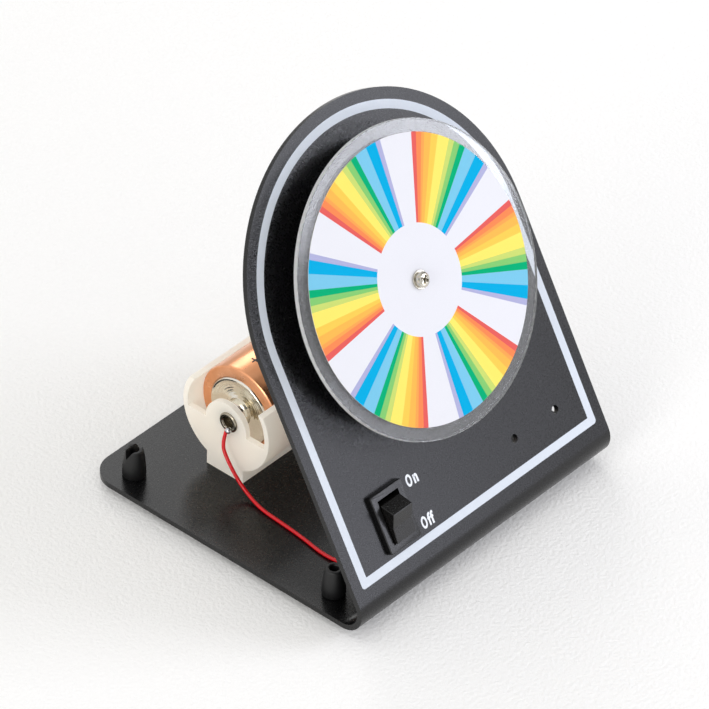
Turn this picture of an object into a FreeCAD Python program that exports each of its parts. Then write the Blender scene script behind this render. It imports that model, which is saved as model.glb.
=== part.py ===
import FreeCAD, Part
import math
import os
import Sketcher

# Newton colour disc: a folded steel stand carries a small motor behind its leaning panel. The motor
# turns a clear disc with a paper colour label. A D cell in a moulded cradle on the base feeds it
# through a rocker switch in the panel.
#
# Row frame: X along the fold, Y towards the rear, Z up, with the origin under the middle of the
# part, at the bottom of its feet. The panel has a frame of its own: u along the fold, v up the slope
# from the line where the panel's front and the base's underside would meet, w out of the front.

DIMENSIONS = {
    # Folded stand
    "lean_angle": 60.0,
    "sheet_thickness": 2.0,
    "stand_width": 127.0,
    "stand_depth": 128.0,
    "bend_radius": 6.4,
    "arch_height": 101.5,
    "corner_radius": 10.0,
    "accessory_hole_radius": 1.5,
    "accessory_spacing": 21.0,
    "accessory_side": 33.9,
    "accessory_height": 31.2,
    # Rubber feet
    "foot_height": 3.0,
    "foot_radius": 6.2,
    "foot_neck_radius": 3.0,
    "foot_barb_radius": 4.1,
    "foot_tip_radius": 3.1,
    "foot_stem": 11.0,
    "foot_bore_radius": 1.5,
    "foot_bore_depth": 8.0,
    "foot_clearance": 0.05,
    "foot_inset": 9.2,
    "foot_front": 26.2,
    "foot_rear_inset": 12.8,
    "foot_tear": 2.6,
    # D cell
    "cell_radius": 17.0,
    "cell_length": 61.5,
    "cell_sleeve": 0.5,
    "cell_can_wall": 0.4,
    "cell_crimp_radius": 12.9,
    "cell_shoulder": 3.5,
    "cell_rounding": 1.1,
    "nub_radius": 4.75,
    "nub_rounding": 0.7,
    "negative_land_radius": 9.0,
    # Battery holder
    "holder_left": -33.0,
    "holder_height": 22.6,
    "holder_back": 93.6,
    "holder_wall": 1.9,
    "holder_clearance": 0.2,
    "holder_end_wall": 2.0,
    "holder_foot_width": 16.2,
    "holder_recess": 2.2,
    "holder_rail": 3.0,
    "lip_height": 9.9,
    "tab_radius": 9.0,
    "tab_side": -0.1,
    "tab_rise": -1.9,
    "end_wall_top": -2.8,
    "eyelet_side": -1.4,
    "eyelet_rise": 0.1,
    "eyelet_radius": 2.6,
    "eyelet_wall": 0.4,
    "eyelet_rim": 3.8,
    "eyelet_curl": 0.8,
    "positive_plate_radius": 5.4,
    "negative_plate_radius": 8.4,
    "contact_thickness": 0.6,
    "spring_length": 5.0,
    "spring_wire": 0.8,
    "spring_large_radius": 7.5,
    "spring_small_radius": 3.9,
    "spring_turns": 3.5,
    "spring_flat_turns": 0.6,
    "fastener_spacing": 44.0,
    "fastener_radius": 1.5,
    "fastener_head_radius": 2.8,
    "fastener_clearance": 0.1,
    "fastener_length": 9.4,
    "nut_across_flats": 5.5,
    "nut_height": 2.3,
    # Motor
    "motor_radius": 12.2,
    "motor_length": 26.0,
    "motor_wall": 0.8,
    "motor_boss_radius": 3.1,
    "motor_boss_height": 1.6,
    "motor_hole_clearance": 0.25,
    "motor_screw_spacing": 17.0,
    "motor_screw_radius": 1.25,
    "motor_screw_head_radius": 2.25,
    "motor_screw_head_height": 1.5,
    "motor_screw_length": 4.0,
    "cap_thickness": 2.4,
    "cap_boss_radius": 4.2,
    "cap_boss_height": 2.0,
    "shaft_radius": 1.0,
    "shaft_fit": 0.03,
    "shaft_front": 5.0,
    "bushing_radius": 2.3,
    "bushing_length": 3.0,
    "magnet_thickness": 1.7,
    "magnet_length": 17.0,
    "magnet_angle": 140.0,
    "air_gap": 0.5,
    "core_length": 11.0,
    "core_hub_radius": 2.8,
    "core_neck_width": 2.6,
    "core_shoe_thickness": 1.4,
    "core_shoe_angle": 92.0,
    "core_front_gap": 5.2,
    "coil_width": 7.0,
    "coil_overhang": 1.7,
    "commutator_radius": 2.3,
    "commutator_length": 4.0,
    "commutator_slot": 0.3,
    "brush_thickness": 0.3,
    "brush_width": 2.4,
    "brush_gap": 0.3,
    "tab_width": 2.8,
    "tab_length": 5.0,
    # Hub, disc and label
    "disc_standoff": 10.4,
    "disc_radius": 52.8,
    "disc_thickness": 1.8,
    "disc_edge": 0.2,
    "label_radius": 48.2,
    "label_thickness": 0.2,
    "hub_radius": 4.0,
    "hub_flange_radius": 9.0,
    "hub_flange_thickness": 2.0,
    "hub_gap": 1.4,
    "disc_screw_radius": 1.5,
    "disc_screw_head_radius": 2.7,
    "disc_screw_head_height": 2.0,
    "disc_screw_length": 6.0,
    "disc_screw_clearance": 0.1,
    "washer_radius": 3.45,
    "washer_thickness": 0.6,
    "recess_width": 0.7,
    "recess_length": 3.0,
    "recess_depth": 1.0,
    "recess_turn": 50.0,
    # Rocker switch
    "switch_side": -37.0,
    "switch_height": 34.0,
    "bezel_width": 15.0,
    "bezel_length": 21.0,
    "bezel_thickness": 2.0,
    "bezel_rounding": 0.8,
    "bezel_edge": 0.3,
    "switch_body_width": 12.8,
    "switch_body_length": 19.0,
    "switch_body_depth": 13.0,
    "cutout_clearance": 0.15,
    "mouth_width": 9.9,
    "mouth_length": 16.0,
    "lip_depth": 1.2,
    "well_length": 17.3,
    "well_depth": 8.5,
    "rocker_clearance": 0.35,
    "rocker_ridge": 5.5,
    "rocker_ridge_rise": 7.9,
    "rocker_crease_rise": 6.8,
    "rocker_toe": 7.4,
    "rocker_toe_rise": 2.6,
    "rocker_heel": 6.8,
    "rocker_keel": 2.4,
    "rocker_keel_drop": 2.0,
    "rocker_tilt": 18.0,
    "pivot_depth": 2.4,
    "pivot_radius": 1.0,
    "pivot_fit": 0.06,
    "pivot_reach": 0.8,
    "catch_width": 6.0,
    "catch_reach": 1.1,
    "catch_gap": 0.15,
    "catch_length": 6.5,
    "terminal_width": 4.8,
    "terminal_thickness": 0.8,
    "terminal_length": 8.0,
    "terminal_root": 1.0,
    "terminal_hole_radius": 0.8,
    "terminal_hole_inset": 2.6,
    "upper_terminal_side": 0.0,
    "lower_terminal_side": -7.0,
    # Lead
    "lead_radius": 0.65,
    "solder_radius": 1.2,
    "solder_stand": 0.4,
    "solder_side": -0.9,
    "solder_drop": 2.4,
    "solder_cone_radius": 1.6,
    "solder_cone_height": 1.6,
}

FEET = {
    "foot_front_left": (-1, "front"),
    "foot_front_right": (1, "front"),
    "foot_rear_left": (-1, "rear"),
    "foot_rear_right": (1, "rear"),
}

# The lead's route, in the row frame: out of the hollow eyelet, down in front of the end wall,
# forward along the base plate and up behind the panel to a terminal of the switch.
LEAD_ROUTE = [
    (-34.2, 24.9, 25.6),
    (-36.2, 25.3, 20.5),
    (-37.3, 22.0, 16.4),
    (-37.8, 16.6, 10.7),
    (-37.8, 11.3, 6.7),
    (-39.4, 4.3, 5.7),
    (-40.0, -5.1, 5.7),
    (-40.8, -15.1, 5.7),
    (-42.4, -24.6, 5.7),
    (-42.2, -31.1, 5.7),
    (-40.5, -35.95, 6.02),
    (-38.2, -39.24, 8.88),
    (-37.0, -39.99, 13.12),
    (-37.0, -37.84, 16.84),
]
ARC_SHARE = 0.45

# Lengths and places that follow from the driving dimensions.
LEAN = "dims.lean_angle * 1deg"
BEND_OUTER = "(dims.bend_radius + dims.sheet_thickness)"
BEND_CENTRE = f"({BEND_OUTER} / tan({LEAN} / 2))"
ORIGIN_BACK = f"(({BEND_CENTRE} - {BEND_OUTER} + dims.stand_depth) / 2)"
PLATE_TOP = "(dims.foot_height + dims.sheet_thickness)"
SHELL_INNER = "(dims.cell_radius + dims.holder_clearance)"
SHELL_OUTER = f"({SHELL_INNER} + dims.holder_wall)"
FOOT_SIDE = "(dims.stand_width / 2 - dims.foot_inset)"
NUB_TIP = "(dims.holder_end_wall + dims.contact_thickness + dims.eyelet_curl)"
SPRING_SEAT = f"({NUB_TIP} + dims.cell_length + dims.spring_length)"
HOLDER_LENGTH = f"({SPRING_SEAT} + dims.contact_thickness + dims.holder_end_wall)"
DISC_FRONT = "(dims.disc_standoff + dims.disc_thickness)"
LABEL_FRONT = f"({DISC_FRONT} + dims.label_thickness)"
MOTOR_FRONT = "(-dims.sheet_thickness)"
MOTOR_REAR = f"({MOTOR_FRONT} - dims.motor_length)"
CAN_BORE = "(dims.motor_radius - dims.motor_wall)"
CORE_RADIUS = f"({CAN_BORE} - dims.magnet_thickness - dims.air_gap)"
CORE_FRONT = f"({MOTOR_FRONT} - dims.motor_wall - dims.core_front_gap)"
CORE_REAR = f"({CORE_FRONT} - dims.core_length)"

doc = FreeCAD.newDocument("NewtonDisc")
sheet = doc.addObject("Spreadsheet::Sheet", "dims")


def fill_sheet():
    """Write every driving dimension into the sheet, each with its name as the alias."""
    for row, (alias, value) in enumerate(DIMENSIONS.items(), start=1):
        sheet.set(f"A{row}", alias)
        sheet.set(f"B{row}", str(value))
        sheet.setAlias(f"B{row}", alias)
    doc.recompute()


def number(expression):
    """The present value of an expression, as a plain number."""
    value = sheet.evalExpression(str(expression))
    return float(getattr(value, "Value", value))


def bind(obj, prop, expression):
    """Tie one property of an object to an expression in the sheet's names."""
    obj.setExpression(prop, str(expression))


def new_body(name):
    body = doc.addObject("PartDesign::Body", name)
    body.Label = name
    return body


def place(obj, across, back, up):
    """Put an object in the row frame."""
    bind(obj, "Placement.Base.x", across)
    bind(obj, "Placement.Base.y", f"({back}) - {ORIGIN_BACK}")
    bind(obj, "Placement.Base.z", up)


def place_on_panel(obj, across="0", slope="0", out="0", tilt="0"):
    """Put an object in the panel's frame, tilted further about the fold's direction."""
    obj.Placement = FreeCAD.Placement(
        FreeCAD.Vector(), FreeCAD.Rotation(FreeCAD.Vector(1, 0, 0), number("dims.lean_angle"))
    )
    bind(obj, "Placement.Rotation.Angle", f"(dims.lean_angle + {tilt}) * 1deg")
    back = f"({slope}) * cos({LEAN}) - ({out}) * sin({LEAN})"
    up = f"({slope}) * sin({LEAN}) + ({out}) * cos({LEAN}) + dims.foot_height"
    place(obj, across, back, up)


def new_sketch(body, role, name, lift=None):
    """A sketch on one of the body's own origin planes, lifted along the plane's normal."""
    plane = next(item for item in body.Origin.OriginFeatures if item.Role == role)
    sketch = body.newObject("Sketcher::SketchObject", f"{body.Name}_{name}")
    sketch.AttachmentSupport = [(plane, "")]
    sketch.MapMode = "FlatFace"
    if lift is not None:
        bind(sketch, "AttachmentOffset.Base.z", lift)
    return sketch


def hold(sketch, kind, geometry, point, expression):
    """Hold one coordinate of a sketch point at an expression, measured from the sketch's origin."""
    index = sketch.addConstraint(
        Sketcher.Constraint(f"Distance{kind}", -1, 1, geometry, point, number(expression))
    )
    bind(sketch, f"Constraints[{index}]", expression)


def draw_outline(sketch, corners):
    """Draw one closed outline.

    A corner is (x, y), or (x, y, centre_x, centre_y, turn) where an arc leads to the next corner:
    turn is 1 anticlockwise and -1 clockwise. A corner that an arc reaches is held in one coordinate
    only, the one that the arc crosses most squarely, because the arc's radius settles the other.
    """
    first = sketch.GeometryCount
    values = [(number(corner[0]), number(corner[1])) for corner in corners]
    for index, corner in enumerate(corners):
        start = values[index]
        end = values[(index + 1) % len(corners)]
        if len(corner) == 2:
            sketch.addGeometry(
                Part.LineSegment(FreeCAD.Vector(*start, 0), FreeCAD.Vector(*end, 0)), False
            )
        else:
            centre = (number(corner[2]), number(corner[3]))
            sketch.addGeometry(arc_between(start, end, centre, corner[4]), False)
    for index, corner in enumerate(corners):
        geometry = first + index
        following = first + (index + 1) % len(corners)
        begins, ends = joint_points(corner)
        next_begins = joint_points(corners[(index + 1) % len(corners)])[0]
        sketch.addConstraint(Sketcher.Constraint("Coincident", geometry, ends, following, next_begins))
        before = corners[index - 1]
        kinds = ("X", "Y")
        if len(before) > 2:
            centre = (number(before[2]), number(before[3]))
            across = abs(values[index][0] - centre[0]) < abs(values[index][1] - centre[1])
            kinds = ("X",) if across else ("Y",)
        for kind in kinds:
            hold(sketch, kind, geometry, begins, corner[0 if kind == "X" else 1])
        if len(corner) > 2:
            hold(sketch, "X", geometry, 3, corner[2])
            hold(sketch, "Y", geometry, 3, corner[3])


def joint_points(corner):
    """The point numbers where an outline's piece begins and ends; an arc always runs anticlockwise."""
    if len(corner) > 2 and corner[4] < 0:
        return 2, 1
    return 1, 2


def arc_between(start, end, centre, turn):
    circle = Part.Circle(
        FreeCAD.Vector(*centre, 0),
        FreeCAD.Vector(0, 0, 1),
        math.dist(start, centre),
    )
    first, last = (start, end) if turn > 0 else (end, start)
    angles = [math.atan2(point[1] - centre[1], point[0] - centre[0]) for point in (first, last)]
    if angles[1] <= angles[0]:
        angles[1] += 2 * math.pi
    return Part.ArcOfCircle(circle, angles[0], angles[1])


def draw_circle(sketch, x, y, radius):
    centre = FreeCAD.Vector(number(x), number(y), 0)
    geometry = sketch.addGeometry(
        Part.Circle(centre, FreeCAD.Vector(0, 0, 1), number(radius)), False
    )
    hold(sketch, "X", geometry, 3, x)
    hold(sketch, "Y", geometry, 3, y)
    index = sketch.addConstraint(Sketcher.Constraint("Radius", geometry, number(radius)))
    bind(sketch, f"Constraints[{index}]", radius)


def draw_box(sketch, x, y, width, height):
    """Draw a rectangle about its centre."""
    left, right = f"({x}) - ({width}) / 2", f"({x}) + ({width}) / 2"
    low, high = f"({y}) - ({height}) / 2", f"({y}) + ({height}) / 2"
    draw_outline(sketch, [(left, low), (right, low), (right, high), (left, high)])


def draw_bar(sketch, length, width, turn):
    """Draw a rectangle about the sketch's origin, turned anticlockwise by an angle in degrees."""
    cosine, sine = f"cos({turn} * 1deg)", f"sin({turn} * 1deg)"
    corners = []
    for along, aside in ((-1, -1), (1, -1), (1, 1), (-1, 1)):
        reach, offset = f"({along} * ({length}) / 2)", f"({aside} * ({width}) / 2)"
        corners.append((f"{reach} * {cosine} - {offset} * {sine}",
                        f"{reach} * {sine} + {offset} * {cosine}"))
    draw_outline(sketch, corners)


def add_feature(body, kind, name, sketch, length=None, both_ways=False, flipped=False):
    """Add a pad or pocket made from a sketch; a pocket without a length goes right through."""
    feature = body.newObject(f"PartDesign::{kind}", f"{body.Name}_{name}")
    feature.Profile = (sketch, [""])
    if length is None:
        feature.Type = "ThroughAll"
    else:
        bind(feature, "Length", length)
    if both_ways:
        feature.SideType = "Symmetric"
    feature.Reversed = flipped
    sketch.Visibility = False
    return feature


def pocket(body, name, sketch, length=None, both_ways=False, flipped=False):
    """Cut a pocket and make sure that it took something away."""
    doc.recompute()
    before = body.Shape.Volume
    feature = add_feature(body, "Pocket", name, sketch, length, both_ways, flipped)
    doc.recompute()
    if body.Shape.Volume >= before:
        raise RuntimeError(f"{feature.Name} cuts nothing")
    return feature


def turned(name, outline, role="XZ_Plane", axis="V_Axis"):
    """A body of revolution from a closed outline of (distance from the axis, place along it)."""
    body = new_body(name)
    sketch = new_sketch(body, role, "profile")
    draw_outline(sketch, outline)
    feature = body.newObject("PartDesign::Revolution", f"{name}_turned")
    feature.Profile = (sketch, [""])
    feature.ReferenceAxis = (sketch, [axis])
    feature.Angle = 360
    return body


def edges_where(body, test):
    """Names of the edges of a body, in its own frame, whose middle and direction pass a test."""
    doc.recompute()
    shape = body.Tip.Shape
    names = []
    for index, edge in enumerate(shape.Edges, start=1):
        middle = edge.valueAt((edge.FirstParameter + edge.LastParameter) / 2)
        direction = edge.tangentAt((edge.FirstParameter + edge.LastParameter) / 2)
        if test(middle, direction):
            names.append(f"Edge{index}")
    return names


def dress_edges(body, kind, name, test, prop, expression):
    """Add a fillet or chamfer on the edges that pass a test."""
    names = edges_where(body, test)
    feature = body.newObject(f"PartDesign::{kind}", f"{body.Name}_{name}")
    feature.Base = (body.Group[-2], names)
    bind(feature, prop, expression)
    body.Tip = feature
    doc.recompute()
    return feature


def make_stand():
    """The folded sheet: base plate, bend and leaning panel with its round top and its holes."""
    body = new_body("stand")
    place(body, "0", "0", "dims.foot_height")
    thickness = "dims.sheet_thickness"

    def on_panel(slope, out):
        return (
            f"({slope}) * cos({LEAN}) - ({out}) * sin({LEAN})",
            f"({slope}) * sin({LEAN}) + ({out}) * cos({LEAN})",
        )

    profile = new_sketch(body, "YZ_Plane", "side_profile")
    bend = (BEND_CENTRE, BEND_OUTER)
    draw_outline(profile, [
        ("dims.stand_depth", "0"),
        (BEND_CENTRE, "0", *bend, -1),
        on_panel(BEND_CENTRE, "0"),
        on_panel("dims.arch_height", "0"),
        on_panel("dims.arch_height", f"-{thickness}"),
        (*on_panel(BEND_CENTRE, f"-{thickness}"), *bend, 1),
        (BEND_CENTRE, thickness),
        ("dims.stand_depth", thickness),
    ])
    add_feature(body, "Pad", "folded_strip", profile, "dims.stand_width", both_ways=True)

    def panel_sketch(name):
        sketch = new_sketch(body, "XZ_Plane", name)
        sketch.AttachmentOffset = FreeCAD.Placement(
            FreeCAD.Vector(), FreeCAD.Rotation(FreeCAD.Vector(-1, 0, 0), number("90 - dims.lean_angle"))
        )
        bind(sketch, "AttachmentOffset.Rotation.Angle", "(90 - dims.lean_angle) * 1deg")
        return sketch

    arch = panel_sketch("arch")
    draw_circle(arch, "0", "dims.arch_height", "dims.stand_width / 2")
    add_feature(body, "Pad", "arched_top", arch, thickness, flipped=True)

    def rear_corner(middle, direction):
        at_rear = middle.y > number("dims.stand_depth") - 0.01
        return at_rear and abs(direction.z) > 0.9

    dress_edges(body, "Fillet", "rear_corners", rear_corner, "Radius", "dims.corner_radius")

    holes = panel_sketch("panel_holes")
    draw_circle(holes, "0", "dims.arch_height", "dims.motor_boss_radius + dims.motor_hole_clearance")
    for side in (-1, 1):
        draw_circle(holes, f"{side} * dims.motor_screw_spacing / 2", "dims.arch_height",
                    "dims.motor_screw_radius + dims.motor_hole_clearance")
        draw_circle(holes, f"dims.accessory_side + {side} * dims.accessory_spacing / 2",
                    "dims.accessory_height", "dims.accessory_hole_radius")
    draw_box(holes, "dims.switch_side", "dims.switch_height",
             "dims.switch_body_width + 2 * dims.cutout_clearance",
             "dims.switch_body_length + 2 * dims.cutout_clearance")
    pocket(body, "panel_holes_cut", holes, f"3 * {thickness}", both_ways=True)

    base = new_sketch(body, "XY_Plane", "base_holes")
    for side in (-1, 1):
        for back in ("dims.foot_front", "dims.stand_depth - dims.foot_rear_inset"):
            draw_circle(base, f"{side} * {FOOT_SIDE}", back, "dims.foot_neck_radius")
        draw_circle(base, f"dims.holder_left + {HOLDER_LENGTH} / 2 + {side} * dims.fastener_spacing / 2",
                    "dims.holder_back", "dims.fastener_radius + dims.fastener_clearance")
    pocket(body, "base_holes_cut", base, f"3 * {thickness}", both_ways=True)
    return body


def make_foot(name, side, row):
    """A pull-through rubber foot: pad under the plate, neck in its hole and hollow barbed stem."""
    back = "dims.foot_front" if row == "front" else "dims.stand_depth - dims.foot_rear_inset"
    neck = "dims.foot_neck_radius - dims.foot_clearance"
    top = "dims.sheet_thickness + dims.foot_stem"
    floor = f"{top} - dims.foot_bore_depth"
    shoulder = "dims.sheet_thickness + dims.foot_clearance"
    body = turned(name, [
        ("0", "-dims.foot_height"),
        ("dims.foot_radius - 0.6", "-dims.foot_height"),
        ("dims.foot_radius", "-dims.foot_height + 0.6"),
        ("dims.foot_radius", "-dims.foot_clearance"),
        (neck, "-dims.foot_clearance"),
        (neck, shoulder),
        ("dims.foot_barb_radius - 0.3", shoulder),
        ("dims.foot_barb_radius", f"{shoulder} + 0.8"),
        ("dims.foot_barb_radius - 0.1", f"{shoulder} + 4"),
        ("dims.foot_tip_radius", top),
        ("dims.foot_bore_radius", top),
        ("dims.foot_bore_radius", floor),
        ("0", f"{floor} - 0.6"),
    ])
    place(body, f"{side} * {FOOT_SIDE}", back, "dims.foot_height")
    if row == "rear":
        tear = new_sketch(body, "YZ_Plane", "tear")
        draw_outline(tear, [
            ("0.4", f"{top} - dims.foot_tear"),
            ("1.9", f"{top} + 0.1"),
            ("-1.6", f"{top} + 0.1"),
        ])
        pocket(body, "tear_cut", tear, "3 * dims.foot_barb_radius", both_ways=True)
    return body


def place_on_holder(obj, along="0"):
    """Put an object on the cell's axis, measured from the holder's left end."""
    place(obj, f"dims.holder_left + {along}", "dims.holder_back", f"{PLATE_TOP} + dims.holder_height")


def place_on_eyelet(obj, along, flipped=False):
    """Put an object on the eyelets' axis, measured from the holder's left end."""
    if flipped:
        obj.Placement = FreeCAD.Placement(
            FreeCAD.Vector(), FreeCAD.Rotation(FreeCAD.Vector(0, 0, 1), 180)
        )
    place(obj, f"dims.holder_left + {along}", "dims.holder_back + dims.eyelet_side",
          f"{PLATE_TOP} + dims.holder_height + dims.eyelet_rise")


def make_battery_holder():
    """The moulded cradle: snap-in shell, end walls with their round tabs, foot and fixing holes."""
    body = new_body("battery_holder")
    place_on_holder(body)
    length = HOLDER_LENGTH
    wall = "dims.holder_end_wall"

    shell = new_sketch(body, "YZ_Plane", "shell")
    draw_circle(shell, "0", "0", SHELL_OUTER)
    add_feature(body, "Pad", "shell_pad", shell, length)

    foot = new_sketch(body, "YZ_Plane", "foot")
    half = "dims.holder_foot_width / 2"
    draw_outline(foot, [
        (f"-{half}", "-dims.holder_height"),
        (half, "-dims.holder_height"),
        (half, f"-{SHELL_INNER} / 2"),
        (f"-{half}", f"-{SHELL_INNER} / 2"),
    ])
    add_feature(body, "Pad", "foot_pad", foot, length)

    bay = new_sketch(body, "YZ_Plane", "cell_bay", wall)
    draw_circle(bay, "0", "0", SHELL_INNER)
    pocket(body, "cell_bay_cut", bay, f"{length} - 2 * {wall}", flipped=True)

    # The lips stop above the cell's middle, so that the cradle grips the cell.
    mouth = new_sketch(body, "YZ_Plane", "mouth")
    draw_outline(mouth, [
        (f"-{SHELL_OUTER} - 1", "dims.lip_height"),
        (f"{SHELL_OUTER} + 1", "dims.lip_height"),
        (f"{SHELL_OUTER} + 1", f"{SHELL_OUTER} + 1"),
        (f"-{SHELL_OUTER} - 1", f"{SHELL_OUTER} + 1"),
    ])
    pocket(body, "mouth_cut", mouth, length, flipped=True)

    # Each end wall keeps its round tab; beside the tab it stops near the cell's middle.
    for name, lift in (("left", "0"), ("right", f"{length} - {wall}")):
        gap = new_sketch(body, "YZ_Plane", f"{name}_gap", lift)
        top = "dims.end_wall_top"
        reach = f"sqrt({SHELL_INNER} ^ 2 - {top} ^ 2)"
        crest = "(dims.lip_height + 1)"
        crest_reach = f"sqrt({SHELL_INNER} ^ 2 - {crest} ^ 2)"
        draw_outline(gap, [
            (reach, top, "0", "0", 1),
            (crest_reach, crest),
            (f"-{crest_reach}", crest, "0", "0", 1),
            (f"-{reach}", top),
        ])
        pocket(body, f"{name}_gap_cut", gap, wall, flipped=True)
        tab = new_sketch(body, "YZ_Plane", f"{name}_tab", lift)
        draw_circle(tab, "dims.tab_side", "dims.tab_rise", "dims.tab_radius")
        add_feature(body, "Pad", f"{name}_tab_pad", tab, wall)
    eyelet = new_sketch(body, "YZ_Plane", "eyelet_holes")
    draw_circle(eyelet, "dims.eyelet_side", "dims.eyelet_rise", "dims.eyelet_radius")
    pocket(body, "eyelet_cut", eyelet, length, flipped=True)

    recess = new_sketch(body, "XY_Plane", "foot_recess", "-dims.holder_height")
    draw_box(recess, f"{length} / 2", "0", "dims.fastener_spacing - 10",
             "dims.holder_foot_width - 2 * dims.holder_rail")
    pocket(body, "foot_recess_cut", recess, "dims.holder_recess", flipped=True)

    floor = f"(-{SHELL_INNER} - dims.holder_wall)"
    for name, side in (("left", -1), ("right", 1)):
        hole = new_sketch(body, "XZ_Plane", f"{name}_screw")
        middle = f"({length} / 2 + {side} * dims.fastener_spacing / 2)"
        bore = "(dims.fastener_radius + dims.fastener_clearance)"
        head = "(dims.fastener_head_radius + dims.fastener_clearance)"
        seat = f"(-{SHELL_INNER} - 0.3)"
        draw_outline(hole, [
            (middle, "-dims.holder_height - 1"),
            (f"{middle} + {bore}", "-dims.holder_height - 1"),
            (f"{middle} + {bore}", f"{seat} - ({head} - {bore})"),
            (f"{middle} + {head}", seat),
            (f"{middle} + {head}", f"-{SHELL_INNER} + 1"),
            (middle, f"-{SHELL_INNER} + 1"),
        ])
        groove = body.newObject("PartDesign::Groove", f"{name}_screw_groove")
        groove.Profile = (hole, [""])
        groove.ReferenceAxis = (hole, ["Edge6"])
        groove.Angle = 360
        doc.recompute()
    return body


def make_eyelet(name, along, flipped):
    """A hollow rivet eyelet: barrel through the end wall, rolled rim outside and clinched inside."""
    barrel = "dims.eyelet_radius"
    bore = "dims.eyelet_radius - dims.eyelet_wall"
    rim = "dims.eyelet_rim"
    curl = "dims.eyelet_curl"
    inner = "dims.holder_end_wall + dims.contact_thickness"
    body = turned(name, [
        (f"-{curl}", f"{bore} + 0.3"),
        ("0 - 0.3", bore),
        (f"{inner} + {curl}", bore),
        (f"{inner} + {curl}", f"{rim} - 0.5"),
        (f"{inner} + 0.3", rim),
        (inner, rim),
        (inner, barrel),
        ("0", barrel),
        ("0", rim),
        (f"-{curl} / 2", rim),
        (f"-{curl}", f"{rim} - 0.4"),
    ], role="XY_Plane", axis="H_Axis")
    place_on_eyelet(body, along, flipped)
    return body


def make_contact(name, radius, along, flipped):
    """A plated contact plate, clinched under the eyelet against the inside of the end wall."""
    body = new_body(name)
    sketch = new_sketch(body, "YZ_Plane", "blank")
    draw_circle(sketch, "0", "0", radius)
    draw_circle(sketch, "0", "0", "dims.eyelet_radius")
    add_feature(body, "Pad", "plate", sketch, "dims.contact_thickness")
    place_on_eyelet(body, along, flipped)
    return body


def make_spring():
    """The conical negative spring: both ends flat, the wide one on the contact plate."""
    wire = number("dims.spring_wire")
    wall_end = number(f"{SPRING_SEAT} - {wire} / 2 - 0.02")
    cell_end = number(f"{NUB_TIP} + dims.cell_length + {wire} / 2 + 0.02")
    large = number("dims.spring_large_radius")
    small = number("dims.spring_small_radius")
    turns = number("dims.spring_turns")
    flat_turns = number("dims.spring_flat_turns")
    steps_per_turn = 16
    points = []
    for step in range(round(turns * steps_per_turn) + 1):
        turn = step / steps_per_turn
        rise = min(max((turn - flat_turns) / (turns - 2 * flat_turns), 0.0), 1.0)
        eased = rise * rise * (3 - 2 * rise)
        radius = small + (large - small) * turn / turns
        angle = 2 * math.pi * turn
        along = (wall_end - cell_end) * eased
        points.append(FreeCAD.Vector(along, radius * math.cos(angle), radius * math.sin(angle)))
    curve = Part.BSplineCurve()
    curve.interpolate(points)
    start_direction = curve.tangent(curve.FirstParameter)[0]
    section = Part.Wire(Part.makeCircle(wire / 2, points[0], start_direction))
    coil = Part.Wire(curve.toShape()).makePipeShell([section], True, True)
    spring = doc.addObject("Part::Feature", "negative_spring")
    spring.Label = "negative_spring"
    spring.Shape = coil
    spring.Placement = FreeCAD.Placement()
    place_on_eyelet(spring, cell_end)
    return spring


def place_on_cell(obj):
    place_on_holder(obj, NUB_TIP)


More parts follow.
